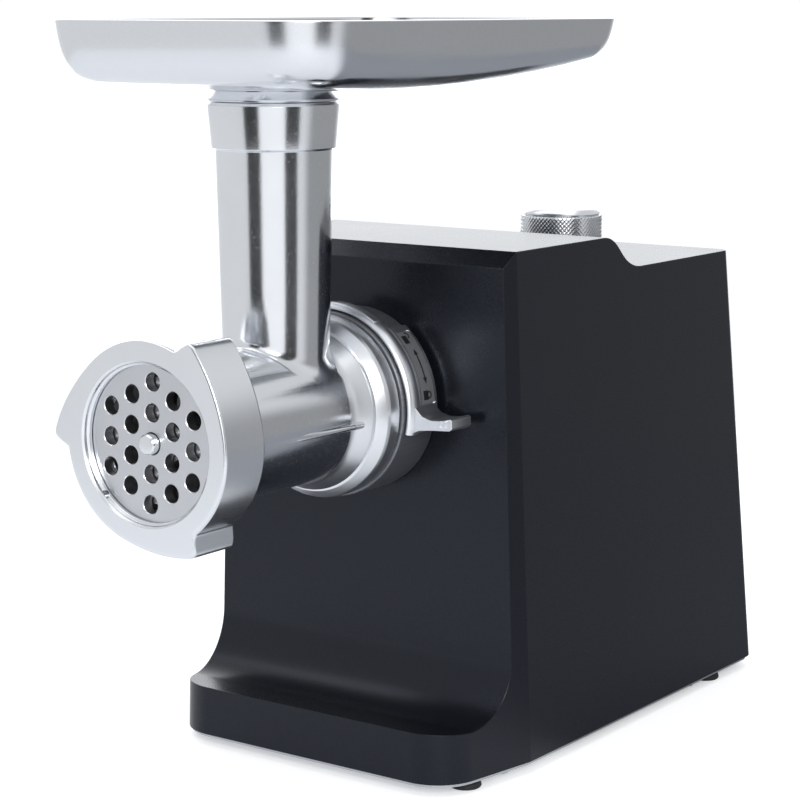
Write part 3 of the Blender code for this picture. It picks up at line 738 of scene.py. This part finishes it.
def barrel_profile():
    """Outside of the barrel: thread seat, barrel, cone to the flange, its groove and spigot."""
    return eased([(0.5, 1.5), (33.0, 1.5, 0.5), (33.0, 17.5, 0.8), (BARREL_R, 19.8, 0.6),
                  (BARREL_R, 86.0, 9.0), (33.1, 93.2, 0.4), (32.6, 93.5, 0.1), (32.6, 94.0, 0.1),
                  (33.8, 94.3, 0.2), (36.9, 98.0, 1.6), (37.3, 99.6, 0.5), (37.3, 105.2, 0.4),
                  (36.7, 105.8, 0.2), (31.0, 105.8, 0.3), (31.0, 128.0, 0.5), (0.5, 128.0)],
                 closed=False)


def tube_rings(steps=144):
    """Outside of the feed tube: it flares on to the barrel, widens and ends in a collar."""
    place = upright(0.0, TUBE_Y)
    foot_r = 21.5
    flare = 3.2
    wide = foot_r + flare
    levels = [[] for _ in range(8)]
    for i in range(steps):
        a = tau * i / steps
        height = sqrt(BARREL_R ** 2 - (wide * cos(a)) ** 2)
        slope = wide * cos(a) ** 2 / height
        meet = AXIS_Z + height
        corner = meet + slope * flare
        levels[0].append(place(wide - 0.4, a, meet - 2.5))
        for step in range(7):
            t = step / 6
            radius = foot_r + flare * (1 - t) ** 2
            level = corner + (meet - corner) * (1 - t) ** 2 + flare * 1.3 * t ** 2
            levels[step + 1].append(place(radius, a, level))
    upper = eased([(21.9, AXIS_Z + 48.0), (23.3, AXIS_Z + 105.0, 0.3), (24.9, AXIS_Z + 105.7, 0.35),
                   (26.3, TUBE_TOP - 1.2, 1.2), (25.3, TUBE_TOP, 0.5), (22.3, TUBE_TOP)],
                  closed=False)
    return ([hoop(place, 19.5, AXIS_Z + 5, steps)] + levels
            + [hoop(place, radius, z, steps) for radius, z in upper])


def on_flange(face):
    """Whether a face belongs to the machined flange, below the web that carries the tube."""
    low, high = FLANGE_STATIONS
    return low < face.center.y / MM - PLATE_Y < high and face.center.z / MM < AXIS_Z + 38.0


def build_casting():
    """Head casting: barrel, tube, flange, side fins, rear web and the bores inside."""
    casting = thing("head_casting_visual", turned(barrel_profile(), head_point, "capped"))
    joined = [thing("tube", skin(tube_rings()))]
    web = ((84, 24), (99.5, 33), (98.3, 37), (95.2, 54), (92.6, 60), (86, 61))
    joined.append(soft_prism("rear_web", [(PLATE_Y + s, AXIS_Z + z) for s, z in web],
                             sideways, -2.4, 2.4, 1.1))
    fin = ((24, 50), (28.9, 50), (31.6, 84), (31.8, 90), (24, 92))
    for side in (-1, 1):
        joined.append(soft_prism("side_fin", [(side * x, PLATE_Y + s) for x, s in fin],
                                 flat, AXIS_Z - 4.3, AXIS_Z - 1.7, 1.1))
    carve(casting, *joined, operation="UNION")
    bore = [(0.5, 0.0), (31.3, 0.0), (31.3, 5.3), (BORE_R, 5.3), (BORE_R, 100.0), (12.6, 100.0),
            (12.6, 105.0), (27.0, 105.0), (27.0, 130.0), (0.5, 130.0)]
    throat = eased([(0.5, AXIS_Z), (19.2, AXIS_Z), (19.2, AXIS_Z + 106.0, 0.5),
                    (22.2, AXIS_Z + 108.0, 0.5), (22.2, TUBE_TOP + 2), (0.5, TUBE_TOP + 2)],
                   closed=False)
    carve(casting, thing("bore", turned(bore, head_point, "capped", 96)),
          thing("throat", turned(throat, upright(0.0, TUBE_Y), "capped", 96)))
    finished(casting, finish("casting"), "head", "cast_aluminium", "head_casting", sharp=30.0)
    second_finish(casting, "flange", on_flange)


def lobed_radius(turn, tip_r, rim_r=NUT_RIM_R):
    """Ring nut outline: lobes at -60, 60 and 180 degrees rise slowly and fall steeply."""
    step = (degrees(turn) + 60.0) % 120.0
    reach = tip_r - rim_r
    if step < 8.0:
        fall = (8.0 - step) / 8.0
        return rim_r + reach * 0.93 * fall * fall * (3 - 2 * fall)
    if step < 70.0:
        return rim_r
    rise = (step - 70.0) / 50.0
    nose = max(0.0, (rise - 0.93) / 0.07)
    return rim_r + reach * (rise ** 2 - 0.07 * nose * nose)


def build_ring_nut(sizes):
    """Ring nut: a thick lobed ring with soft edges and a stepped mouth in front of the plate."""
    tip = sizes.lobe_reach / MM
    steps = 540
    outer = ((2.0, -4.0), (1.0, -3.97), (0.45, -3.75), (0.12, -3.3), (0.0, -2.6), (0.0, 17.6),
             (0.12, 18.3), (0.5, 18.8), (1.2, 19.0))
    turns = [tau * i / steps for i in range(steps)]
    rings = [[head_point(lobed_radius(turn, tip) - inset, turn, station) for turn in turns]
             for inset, station in outer]
    inner = eased([(33.4, 19.0), (33.4, -0.3), (29.5, -0.3), (29.5, -1.6, 0.3), (30.4, -2.3, 0.3),
                   (30.6, -3.3, 0.5), (31.4, -4.0)], closed=False)
    rings += [hoop(head_point, radius, station, steps) for radius, station in inner]
    nut = thing("ring_nut_visual", skin(rings, "joined"))
    carve(nut, prism("notch", circle((-21.9, -21.9), 1.9, 20), head_plane, -2.6, -0.9))
    finished(nut, finish("satin"), "ring_nut", "satin_aluminium", "ring_nut", sharp=34.0,
             weighted=True)


def in_bore(face):
    """Whether a face of the plate is the wall of a hole and not its rim."""
    from_axis = hypot(face.center.x, face.center.z - AXIS_Z * MM)
    return abs(face.normal.y) < 0.3 and from_axis < 0.030


def build_plate(sizes):
    """Hole plate with holes on a triangular grid, and the feed screw's pin in its middle."""
    pitch = sizes.hole_pitch / MM
    back = PLATE_THICK
    rim = eased([(0.5, 0.0), (PLATE_R, 0.0, 0.5), (PLATE_R, back, 0.5), (0.5, back)],
                closed=False)
    plate = thing("hole_plate_visual", turned(rim, head_point, "capped"))
    turn = radians(-2.5)
    holes = []
    for q in range(-2, 3):
        for r in range(-2, 3):
            if not 0 < q * q + q * r + r * r <= 4:
                continue
            x, z = q * pitch * sqrt(3) / 2, (r + q / 2) * pitch
            spot = (x * cos(turn) - z * sin(turn), x * sin(turn) + z * cos(turn))
            holes.append((spot, sizes.hole_radius / MM))
    holes.append(((0.0, 0.0), PIN_BORE_R))
    bevelled = ((0.35, -0.1), (0.3, 0.0), (0.0, 0.3), (0.0, back - 0.3), (0.3, back),
                (0.35, back + 0.1))
    cutters = []
    for middle, radius in holes:
        cutters.append(thing("hole", skin([
            [head_plane(a, b, station) for a, b in circle(middle, radius + grow, 40)]
            for grow, station in bevelled])))
    carve(plate, *cutters)
    finished(plate, finish("plate"), "head", "ground_steel", "hole_plate", sharp=30.0,
             weighted=True)
    # The hole walls get the darker steel: partly a drilled finish, partly painted shade inside the
    # holes.
    second_finish(plate, "bore", in_bore)
    pin = eased([(0.5, -3.15), (3.3, -3.15, 0.3), (3.9, -2.4, 0.5), (3.9, back), (0.5, back)],
                closed=False)
    cap = thing("feed_screw_pin", turned(pin, head_point, "capped", 64))
    finished(cap, finish("casting"), "feed_screw", "cast_aluminium")


# Tray

def tray_floor(y):
    """Height of the underside: lowest near the neck, rising to the front and the back."""
    return TRAY_FLOOR_Z + TRAY_RISE * (y - TRAY_LOW_Y) ** 2


def tray_loop(inset, share):
    """A rounded loop of the tray's underside: its inset from the rim and its share of the rise."""
    half_w = TRAY_HIGH[0]
    front, back = TRAY_LOW[1], TRAY_HIGH[1]
    radius = max(TRAY_CORNER_R - inset, 5.0)
    across = half_w - inset - radius
    near, far = front + inset + radius, back - inset - radius
    corners = ((across, near, -90), (across, far, 0), (-across, far, 90), (-across, near, 180))
    points = []
    for number, (x, y, start) in enumerate(corners):
        turn = arc((x, y), radius, start, start + 90, 16)
        points += turn
        x2, y2, start2 = corners[(number + 1) % 4]
        onward = arc((x2, y2), radius, start2, start2, 1)[0]
        last = turn[-1]
        points += [tuple(last[k] + (onward[k] - last[k]) * i / 8 for k in range(2))
                   for i in range(1, 8)]
    loop = []
    for x, y in points:
        low = tray_floor(y)
        loop.append((x, y, low + (TRAY_HIGH[2] - low) * share))
    return loop


def tray_section(count=26):
    """The side's section, as (inset, share of rise): steep at the rim, soft towards the floor."""
    knots = ((0.0, 1.0), (1.0, 0.72), (2.4, 0.48), (4.6, 0.28), (8.0, 0.13), (13.0, 0.045),
             (19.0, 0.01), (25.0, 0.0))
    curve = []
    for i in range(count + 1):
        t = i / count * (len(knots) - 1)
        k = min(int(t), len(knots) - 2)
        f = t - k
        before, here = knots[max(k - 1, 0)], knots[k]
        there, beyond = knots[k + 1], knots[min(k + 2, len(knots) - 1)]
        point = []
        for axis in range(2):
            a, b, c, d = before[axis], here[axis], there[axis], beyond[axis]
            point.append(b + f * (c - a) / 2 + f * f * (a - 2.5 * b + 2 * c - d / 2)
                         + f ** 3 * (-a + 3 * b - 3 * c + d) / 2)
        curve.append((max(point[0], 0.0), min(max(point[1], 0.0), 1.0)))
    return curve


def build_tray(sizes):
    """Feed tray: one drawn sheet from the rim through the bowl down to the neck in the tube."""
    loops = [tray_loop(inset, share) for inset, share in tray_section()]
    bowl = loops[-1]
    rays = [-pi / 2 + tau * (i + 0.5) / len(bowl) for i in range(len(bowl))]
    fall = ((26.5, 0.0), (24.0, 0.15), (22.6, 0.8), (21.3, 2.0), (NECK_R, 4.0),
            (NECK_R, TRAY_FLOOR_Z - NECK_END_Z))
    place = upright(0.0, TUBE_Y)
    neck = [[place(radius, ray, TRAY_FLOOR_Z - drop) for ray in rays] for radius, drop in fall]
    for share in (0.15, 0.3, 0.45, 0.6, 0.75, 0.9):
        ring = []
        for far, near in zip(bowl, neck[0]):
            x, y = far[0] + (near[0] - far[0]) * share, far[1] + (near[1] - far[1]) * share
            rise = (tray_floor(far[1]) - TRAY_FLOOR_Z) * (1 - share) ** 1.5
            ring.append((x, y, TRAY_FLOOR_Z + rise))
        loops.append(ring)
    loops += neck
    tray = thing("feed_tray_visual", skin(loops, "open"))
    wall = tray.modifiers.new("wall", "SOLIDIFY")
    wall.thickness = sizes.tray_wall
    wall.offset = -1.0
    wall.use_even_offset = True
    settle(tray)
    soften(tray, 0.45, 3, 50.0)
    settle(tray)
    low = TUBE_TOP + 0.3
    skirt = eased([(20.5, low), (26.2, low, 0.3), (25.9, low + 0.9, 0.6), (22.6, low + 4.3, 0.6),
                   (22.0, low + 4.8), (20.5, low + 4.8)])
    carve(tray, thing("skirt", turned(skirt, place)), operation="UNION")
    finished(tray, finish("tray"), "feed_tray", "satin_aluminium", "feed_tray", sharp=40.0)


# Collar, lock ring and label

def build_collar():
    """Collar: a dark ring on the housing with a window for the lock ring's web."""
    profile = eased([(31.5, 106.5), (37.7, 106.5, 0.3), (COLLAR_R, 107.0, 0.4),
                     (COLLAR_R, 129.0, 0.3), (35.5, 129.0), (35.5, 136.0), (31.5, 136.0),
                     (31.5, 121.6), (35.2, 121.6), (35.2, 112.4), (31.5, 112.4)])
    collar = thing("head_collar_visual", turned(profile, head_point))
    window = sector(34, 40, 6, 62 + LOCK_TRAVEL, 24)
    carve(collar, prism("window", window, head_plane, 114.5, 119.5))
    finished(collar, finish("collar"), "base", "dark_collar", "head_collar")


def label_mark(name, outline):
    """A printed mark: a thin patch on the label, from (distance round the ring, station)."""
    rings = [[head_point(radius, along / LOCK_R, station) for along, station in outline]
             for radius in (LOCK_R + 0.02, LOCK_R + 0.07)]
    finished(thing(name, skin(rings)), finish("ink"), "lock_ring", "dark_nylon")


def padlock(name, along, station, open_by):
    """A generic padlock: a plain body, and a shackle that is shifted when it is open."""
    body = eased([(along - 1.9, station - 2.9, 0.3), (along + 1.9, station - 2.9, 0.3),
                  (along + 1.9, station + 0.3, 0.3), (along - 1.9, station + 0.3, 0.3)])
    label_mark(name + "_body", body)
    middle = along + open_by
    outer = arc((middle, station + 0.9), 1.5, 0, 180, 12)
    inner = arc((middle, station + 0.9), 0.85, 180, 0, 12)
    right_leg, left_leg = station + 0.25, station + (0.25 if not open_by else 0.9)
    shackle = [(middle + 1.5, right_leg), *outer, (middle - 1.5, left_leg)]
    shackle += [(middle - 0.85, left_leg), *inner, (middle + 0.85, right_leg)]
    label_mark(name + "_shackle", shackle)


def ring_part(section, start, end, count):
    """A (radius, station) section carried round the head's axis between two angles in degrees."""
    turns = [radians(start + (end - start) * i / count) for i in range(count + 1)]
    return skin([[head_point(radius, turn, station) for radius, station in section]
                 for turn in turns])


def build_lock():
    """Lock ring: front lip, label band, plain grip, inner ring and the flared lever; its label."""
    lip = ((38.6, LOCK_FRONT + 0.4), (39.0, LOCK_FRONT + 0.05), (39.6, LOCK_FRONT),
           (40.2, LOCK_FRONT + 0.35), (40.8, LOCK_FRONT + 1.1), (41.25, LOCK_FRONT + 2.3),
           (41.4, LOCK_FRONT + 3.8), (41.3, 113.6), (40.6, 115.0), (38.6, 115.0))
    ring = thing("lock_ring_visual", ring_part(lip, -13.0, 95.0, 110))
    label_band = eased([(38.6, 113.0), (40.3, 113.0, 0.6), (LOCK_R, 114.4, 0.6),
                        (LOCK_R, LOCK_BACK, 0.4), (38.6, LOCK_BACK)])
    grip = eased([(39.5, 108.8), (41.6, 108.8, 0.7), (41.6, 113.8, 0.7), (39.5, 113.8)])
    tab = eased([(39.4, 4.6), (41.0, 2.2, 3.0), (44.2, -1.1, 4.0), (49.0, -2.35, 6.0),
                 (54.0, -2.0, 8.0), (58.0, -0.9, 0.8), (58.8, -1.6, 0.5), (58.9, -4.9, 0.8),
                 (57.6, -5.9, 0.8), (50.0, -6.4, 6.0), (43.0, -7.2, 4.0), (38.7, -9.2)])
    inner = [(32.0, 113), (34.8, 113), (34.8, 121), (32.0, 121)]
    carve(ring, thing("band", ring_part(label_band, -12.5, 52.0, 72)),
          soft_prism("lever", tab, head_plane, 110.2, 124.2, 0.6),
          prism("web", sector(33.8, 39.4, 10, 58, 36), head_plane, 115.2, 118.8),
          thing("inner", turned(inner, head_point)),
          thing("grip", ring_part(grip, 58.0, 88.0, 36)), operation="UNION")
    cuts = [prism("recess", sector(40.4, 43, 3, 48, 36), head_plane, 115.4, 125.0)]
    for near, far in ((53.2, 54.3), (55.3, 56.4)):
        cuts.append(box_tool((near, PLATE_Y + 109.8, AXIS_Z - 4.6),
                             (far, PLATE_Y + 110.9, AXIS_Z - 2.7)))
    carve(ring, *cuts)
    finished(ring, finish("flange"), "lock_ring", "satin_aluminium", "lock_ring", sharp=34.0,
             weighted=True)

    label = prism("lock_label_visual", sector(40.65, LOCK_R, 3.6, 47.4, 48, 0.4), head_plane,
                  115.8, 124.6)
    finished(label, finish("label"), "lock_ring", "grey_label", "lock_label")
    middle = 120.2
    padlock("open_padlock", radians(42.0) * LOCK_R, middle, 1.9)
    padlock("closed_padlock", radians(8.2) * LOCK_R, middle, 0.0)
    low, high = radians(14.5) * LOCK_R, radians(35.5) * LOCK_R
    shaft = [(low + 1.6 + (high - low - 3.2) * i / 10, middle - 0.38) for i in range(11)]
    shaft += [(high - 1.6 - (high - low - 3.2) * i / 10, middle + 0.38) for i in range(11)]
    label_mark("arrow_shaft", shaft)
    label_mark("arrow_down", [(low, middle), (low + 2.6, middle - 1.3), (low + 2.6, middle + 1.3)])
    label_mark("arrow_up", [(high, middle), (high - 2.6, middle + 1.3), (high - 2.6, middle - 1.3)])


# Knob and inner pieces

def build_knob(sizes):
    """Speed knob: diamond-knurled side, a grooved shoulder and a spun top."""
    low, count, rows = DECK_Z + 0.6, sizes.knurl_count, 22
    depth = sizes.knurl_depth / MM
    steps = count * 6
    place = upright(KNOB_X, KNOB_Y)
    foot = ((3.0, 183.0), (3.0, low), (KNOB_R - 1.2, low), (KNOB_R - 0.5, low + 0.15))
    rings = [hoop(place, radius, z, steps) for radius, z in foot]
    for row in range(rows + 1):
        z = low + 0.9 + (KNOB_TOP - 4.3 - low) * row / rows
        along = (z - low) / (KNOB_R * tau / count) * 0.9
        knurl = []
        for i in range(steps):
            across = i * count / steps
            ridge = abs((across + along) % 1.0 - 0.5) + abs((across - along) % 1.0 - 0.5)
            knurl.append(place(KNOB_R - depth * ridge, tau * i / steps, z))
        rings.append(knurl)
    shoulder = ((0.5, 3.1), (1.0, 2.9), (1.0, 2.4), (0.6, 2.2), (0.9, 1.6), (2.4, 0.25),
                (3.0, 0.02), (3.6, 0.0), (3.9, 0.15), (4.2, 0.15), (4.5, 0.0),
                (KNOB_R - 8.0, 0.12), (KNOB_R - 0.6, 0.2))
    rings += [hoop(place, KNOB_R - inset, KNOB_TOP - drop, steps) for inset, drop in shoulder]
    knob = thing("control_knob_visual", skin(rings))
    finished(knob, finish("knob"), "control_knob", "satin_aluminium", "control_knob", sharp=50.0)
    # Painted shade: the flat top faces get the darker copy of the spun metal.
    second_finish(knob, "knob top painted shade", lambda face: face.normal.z > 0.97)


INNER = {
    "steel": ("base_plate", "output_shaft", "output_gear", "armature", "front_bearing",
              "rear_bearing", "front_bracket", "rear_bracket"),
    "laminations": ("stator_core",),
    "auger": ("auger",),
    "knife": ("knife",),
    "copper": ("commutator", "upper_field_coil", "lower_field_coil"),
    "bronze": ("auger_washer", "output_bearing", "left_brush_holder", "right_brush_holder"),
    "white nylon": ("first_reduction_gear", "second_reduction_gear"),
    "dark nylon": ("gearbox_housing", "gearbox_cover", "cooling_fan", "speed_switch",
                   "mains_inlet"),
    "board": ("control_board",),
}


def dress_nodes():
    """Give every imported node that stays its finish, and soften the edges that can be seen."""
    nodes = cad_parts
    named = dict(INNER)
    named["steel"] = named["steel"] + tuple(name for name in nodes if "screw_" in name)
    for look, names in named.items():
        for name in names:
            node = nodes[name]
            node.data.materials.clear()
            node.data.materials.append(finish(look))
    for name, width in (("mains_inlet", 0.5), ("auger", 0.3), ("knife", 0.3)):
        soften(nodes[name], width, 2)


# Stage

def band(turn, start, end, soft):
    """1 between two directions given in degrees, eased at both sides."""
    rise = turn.rise(radians(start - soft), radians(start + soft))
    fall = turn.rise(radians(end - soft), radians(end + soft))
    return rise * (1 - fall)


def build_world(strength):
    """A light tent: white behind, pale above, darker at the sides, two dark openings in front."""
    world = bpy.data.worlds.new("light_tent")
    world.use_nodes = True
    bpy.context.scene.world = world
    tent = Shader(world.node_tree)
    direction = tent.node("ShaderNodeTexCoord", output="Generated")
    x, y, z = tent.split(direction)
    turn = x.math("ARCTAN2", y, x)
    level = 0.80 + band(turn, 104.0, 158.0, 9.0) * 1.45
    level = level + band(turn, -74.0, -31.0, 2.5) * 0.30
    dark = band(turn, -103.0, -77.0, 1.5) + band(turn, -30.0, -5.0, 1.5)
    sides = band(turn, 14.0, 92.0, 10.0) * (1 - z.rise(0.10, 0.35))
    level = level - dark * 0.75 - sides * 0.44
    overhead = z.rise(0.40, 0.75)
    level = level * (1 - overhead) + overhead * 0.74
    seen = tent.node("ShaderNodeLightPath", output="Is Camera Ray")
    level = level * (1 - seen) + seen * 1.05
    ground = world.node_tree.nodes["Background"]
    ground.inputs["Color"].default_value = (0.955, 0.975, 1.0, 1.0)
    world.node_tree.links.new((level * strength).socket, ground.inputs["Strength"])


def soft_light(name, place, aim, size, power):
    light = bpy.data.lights.new(name, "AREA")
    light.shape = "RECTANGLE"
    light.size, light.size_y = size
    light.energy = power
    made = bpy.data.objects.new(name, light)
    made.location = place
    made.rotation_euler = (Vector(aim) - Vector(place)).to_track_quat("-Z", "Y").to_euler()
    bpy.context.scene.collection.objects.link(made)


def pale_floor():
    """White sweep: full white to the eye; in what the metal mirrors, a softer grey with a faint
    painted glow and painted shade in a darker sector.
    """
    made = Finish("pale_floor", (0.60, 0.61, 0.63), 0.7)
    x, y, _ = made.split(made.spot())
    # Painted shade: a darker sector towards +X and +Y. Painted glow: a faint emission over the
    # whole floor. Both show only in what the metal mirrors.
    painted_shade_sector = band(x.math("ARCTAN2", y, x), 5.0, 100.0, 15.0)
    made.set("Base Color", made.blend(painted_shade_sector, (0.60, 0.61, 0.63), (0.20, 0.21, 0.23)))
    made.set("Emission Color", made.blend(painted_shade_sector, (0.90, 0.93, 1.0), (0.22, 0.24, 0.27)))
    made.set("Emission Strength", 0.26)
    white = made.node("ShaderNodeBsdfDiffuse", None, {"Color": (0.90, 0.90, 0.90, 1.0)})
    glow = made.node("ShaderNodeEmission", None, {"Strength": 0.38})
    bright = made.node("ShaderNodeAddShader", None, {0: white, 1: glow})
    eye = made.node("ShaderNodeLightPath", output="Is Camera Ray")
    surface = Signal(made, made.surface.outputs[0])
    mixed = made.node("ShaderNodeMixShader", None, {0: eye, 1: surface, 2: bright})
    made.tree.links.new(mixed.socket, made.tree.nodes["Material Output"].inputs["Surface"])
    return made.material


def build_stage(strength):
    floor = prism("floor", circle((0.0, 0.0), FLOOR_R, 128), flat, -12.0, 0.0)
    floor.data.materials.append(pale_floor())

    camera = bpy.data.cameras.new("camera")
    camera.lens = CAMERA_LENS
    made = bpy.data.objects.new("camera", camera)
    made.location = CAMERA_PLACE
    made.rotation_euler = (CAMERA_TILT, 0.0, CAMERA_TURN)
    bpy.context.scene.collection.objects.link(made)
    bpy.context.scene.camera = made

    build_world(strength)
    soft_light("overhead_softbox", (-0.1, -0.1, 1.3), (0.0, 0.0, 0.1), (1.4, 1.4),
               6.0 * strength)
    soft_light("side_softbox", (1.0, -1.0, 0.75), (0.0, -0.05, 0.2), (0.45, 0.45),
               9.0 * strength)
    bpy.context.scene.view_settings.view_transform = "Standard"


# Operators and panel

class GRINDER_OT_stage(Operator):
    """Floor, light tent, softboxes and camera"""

    bl_idname = "grinder.stage"
    bl_label = "Stage"

    def execute(self, context):
        build_stage(context.scene.grinder_finishes.studio)
        return {"FINISHED"}


class GRINDER_OT_housing(Operator):
    """Moulded housing with its sweep, strips, step and vents, and the feet"""

    bl_idname = "grinder.housing"
    bl_label = "Housing and feet"

    def execute(self, context):
        build_shell(context.scene.grinder_sizes)
        build_feet()
        return {"FINISHED"}


class GRINDER_OT_casting(Operator):
    """Head casting with barrel, feed tube and flange"""

    bl_idname = "grinder.casting"
    bl_label = "Head casting"

    def execute(self, context):
        build_casting()
        return {"FINISHED"}


class GRINDER_OT_ring_nut(Operator):
    """Lobed ring nut and the hole plate behind it"""

    bl_idname = "grinder.ring_nut"
    bl_label = "Ring nut and plate"

    def execute(self, context):
        build_ring_nut(context.scene.grinder_sizes)
        build_plate(context.scene.grinder_sizes)
        return {"FINISHED"}


class GRINDER_OT_tray(Operator):
    """Feed tray"""

    bl_idname = "grinder.tray"
    bl_label = "Feed tray"

    def execute(self, context):
        build_tray(context.scene.grinder_sizes)
        return {"FINISHED"}


class GRINDER_OT_lock(Operator):
    """Collar, lock ring and its label"""

    bl_idname = "grinder.lock"
    bl_label = "Collar and lock ring"

    def execute(self, context):
        build_collar()
        build_lock()
        return {"FINISHED"}


class GRINDER_OT_knob(Operator):
    """Knurled control knob"""

    bl_idname = "grinder.knob"
    bl_label = "Control knob"

    def execute(self, context):
        build_knob(context.scene.grinder_sizes)
        return {"FINISHED"}


class GRINDER_OT_finishes(Operator):
    """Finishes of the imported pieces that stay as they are"""

    bl_idname = "grinder.finishes"
    bl_label = "Inner pieces"

    def execute(self, context):
        dress_nodes()
        return {"FINISHED"}


OPERATORS = (GRINDER_OT_stage, GRINDER_OT_housing, GRINDER_OT_casting, GRINDER_OT_ring_nut,
             GRINDER_OT_tray, GRINDER_OT_lock, GRINDER_OT_knob, GRINDER_OT_finishes)


class GRINDER_PT_panel(Panel):
    """Sizes, colours and build steps of the grinder"""

    bl_idname = "GRINDER_PT_panel"
    bl_label = "Meat grinder"
    bl_space_type = "VIEW_3D"
    bl_region_type = "UI"
    bl_category = "Grinder"

    def draw(self, context):
        for group in (context.scene.grinder_sizes, context.scene.grinder_finishes):
            box = self.layout.box()
            for name in group.__annotations__:
                box.prop(group, name)
        for operator in OPERATORS:
            self.layout.operator(operator.bl_idname)


CLASSES = (GrinderSizes, GrinderFinishes, *OPERATORS, GRINDER_PT_panel)


def register():
    for cls in CLASSES:
        bpy.utils.register_class(cls)
    bpy.types.Scene.grinder_sizes = PointerProperty(type=GrinderSizes)
    bpy.types.Scene.grinder_finishes = PointerProperty(type=GrinderFinishes)


def unregister():
    del bpy.types.Scene.grinder_finishes
    del bpy.types.Scene.grinder_sizes
    for cls in reversed(CLASSES):
        bpy.utils.unregister_class(cls)


def main():
    register()
    bpy.ops.grinder.stage()
    bpy.ops.grinder.housing()
    bpy.ops.grinder.casting()
    bpy.ops.grinder.ring_nut()
    bpy.ops.grinder.tray()
    bpy.ops.grinder.lock()
    bpy.ops.grinder.knob()
    bpy.ops.grinder.finishes()


if __name__ == "__main__":
    main()
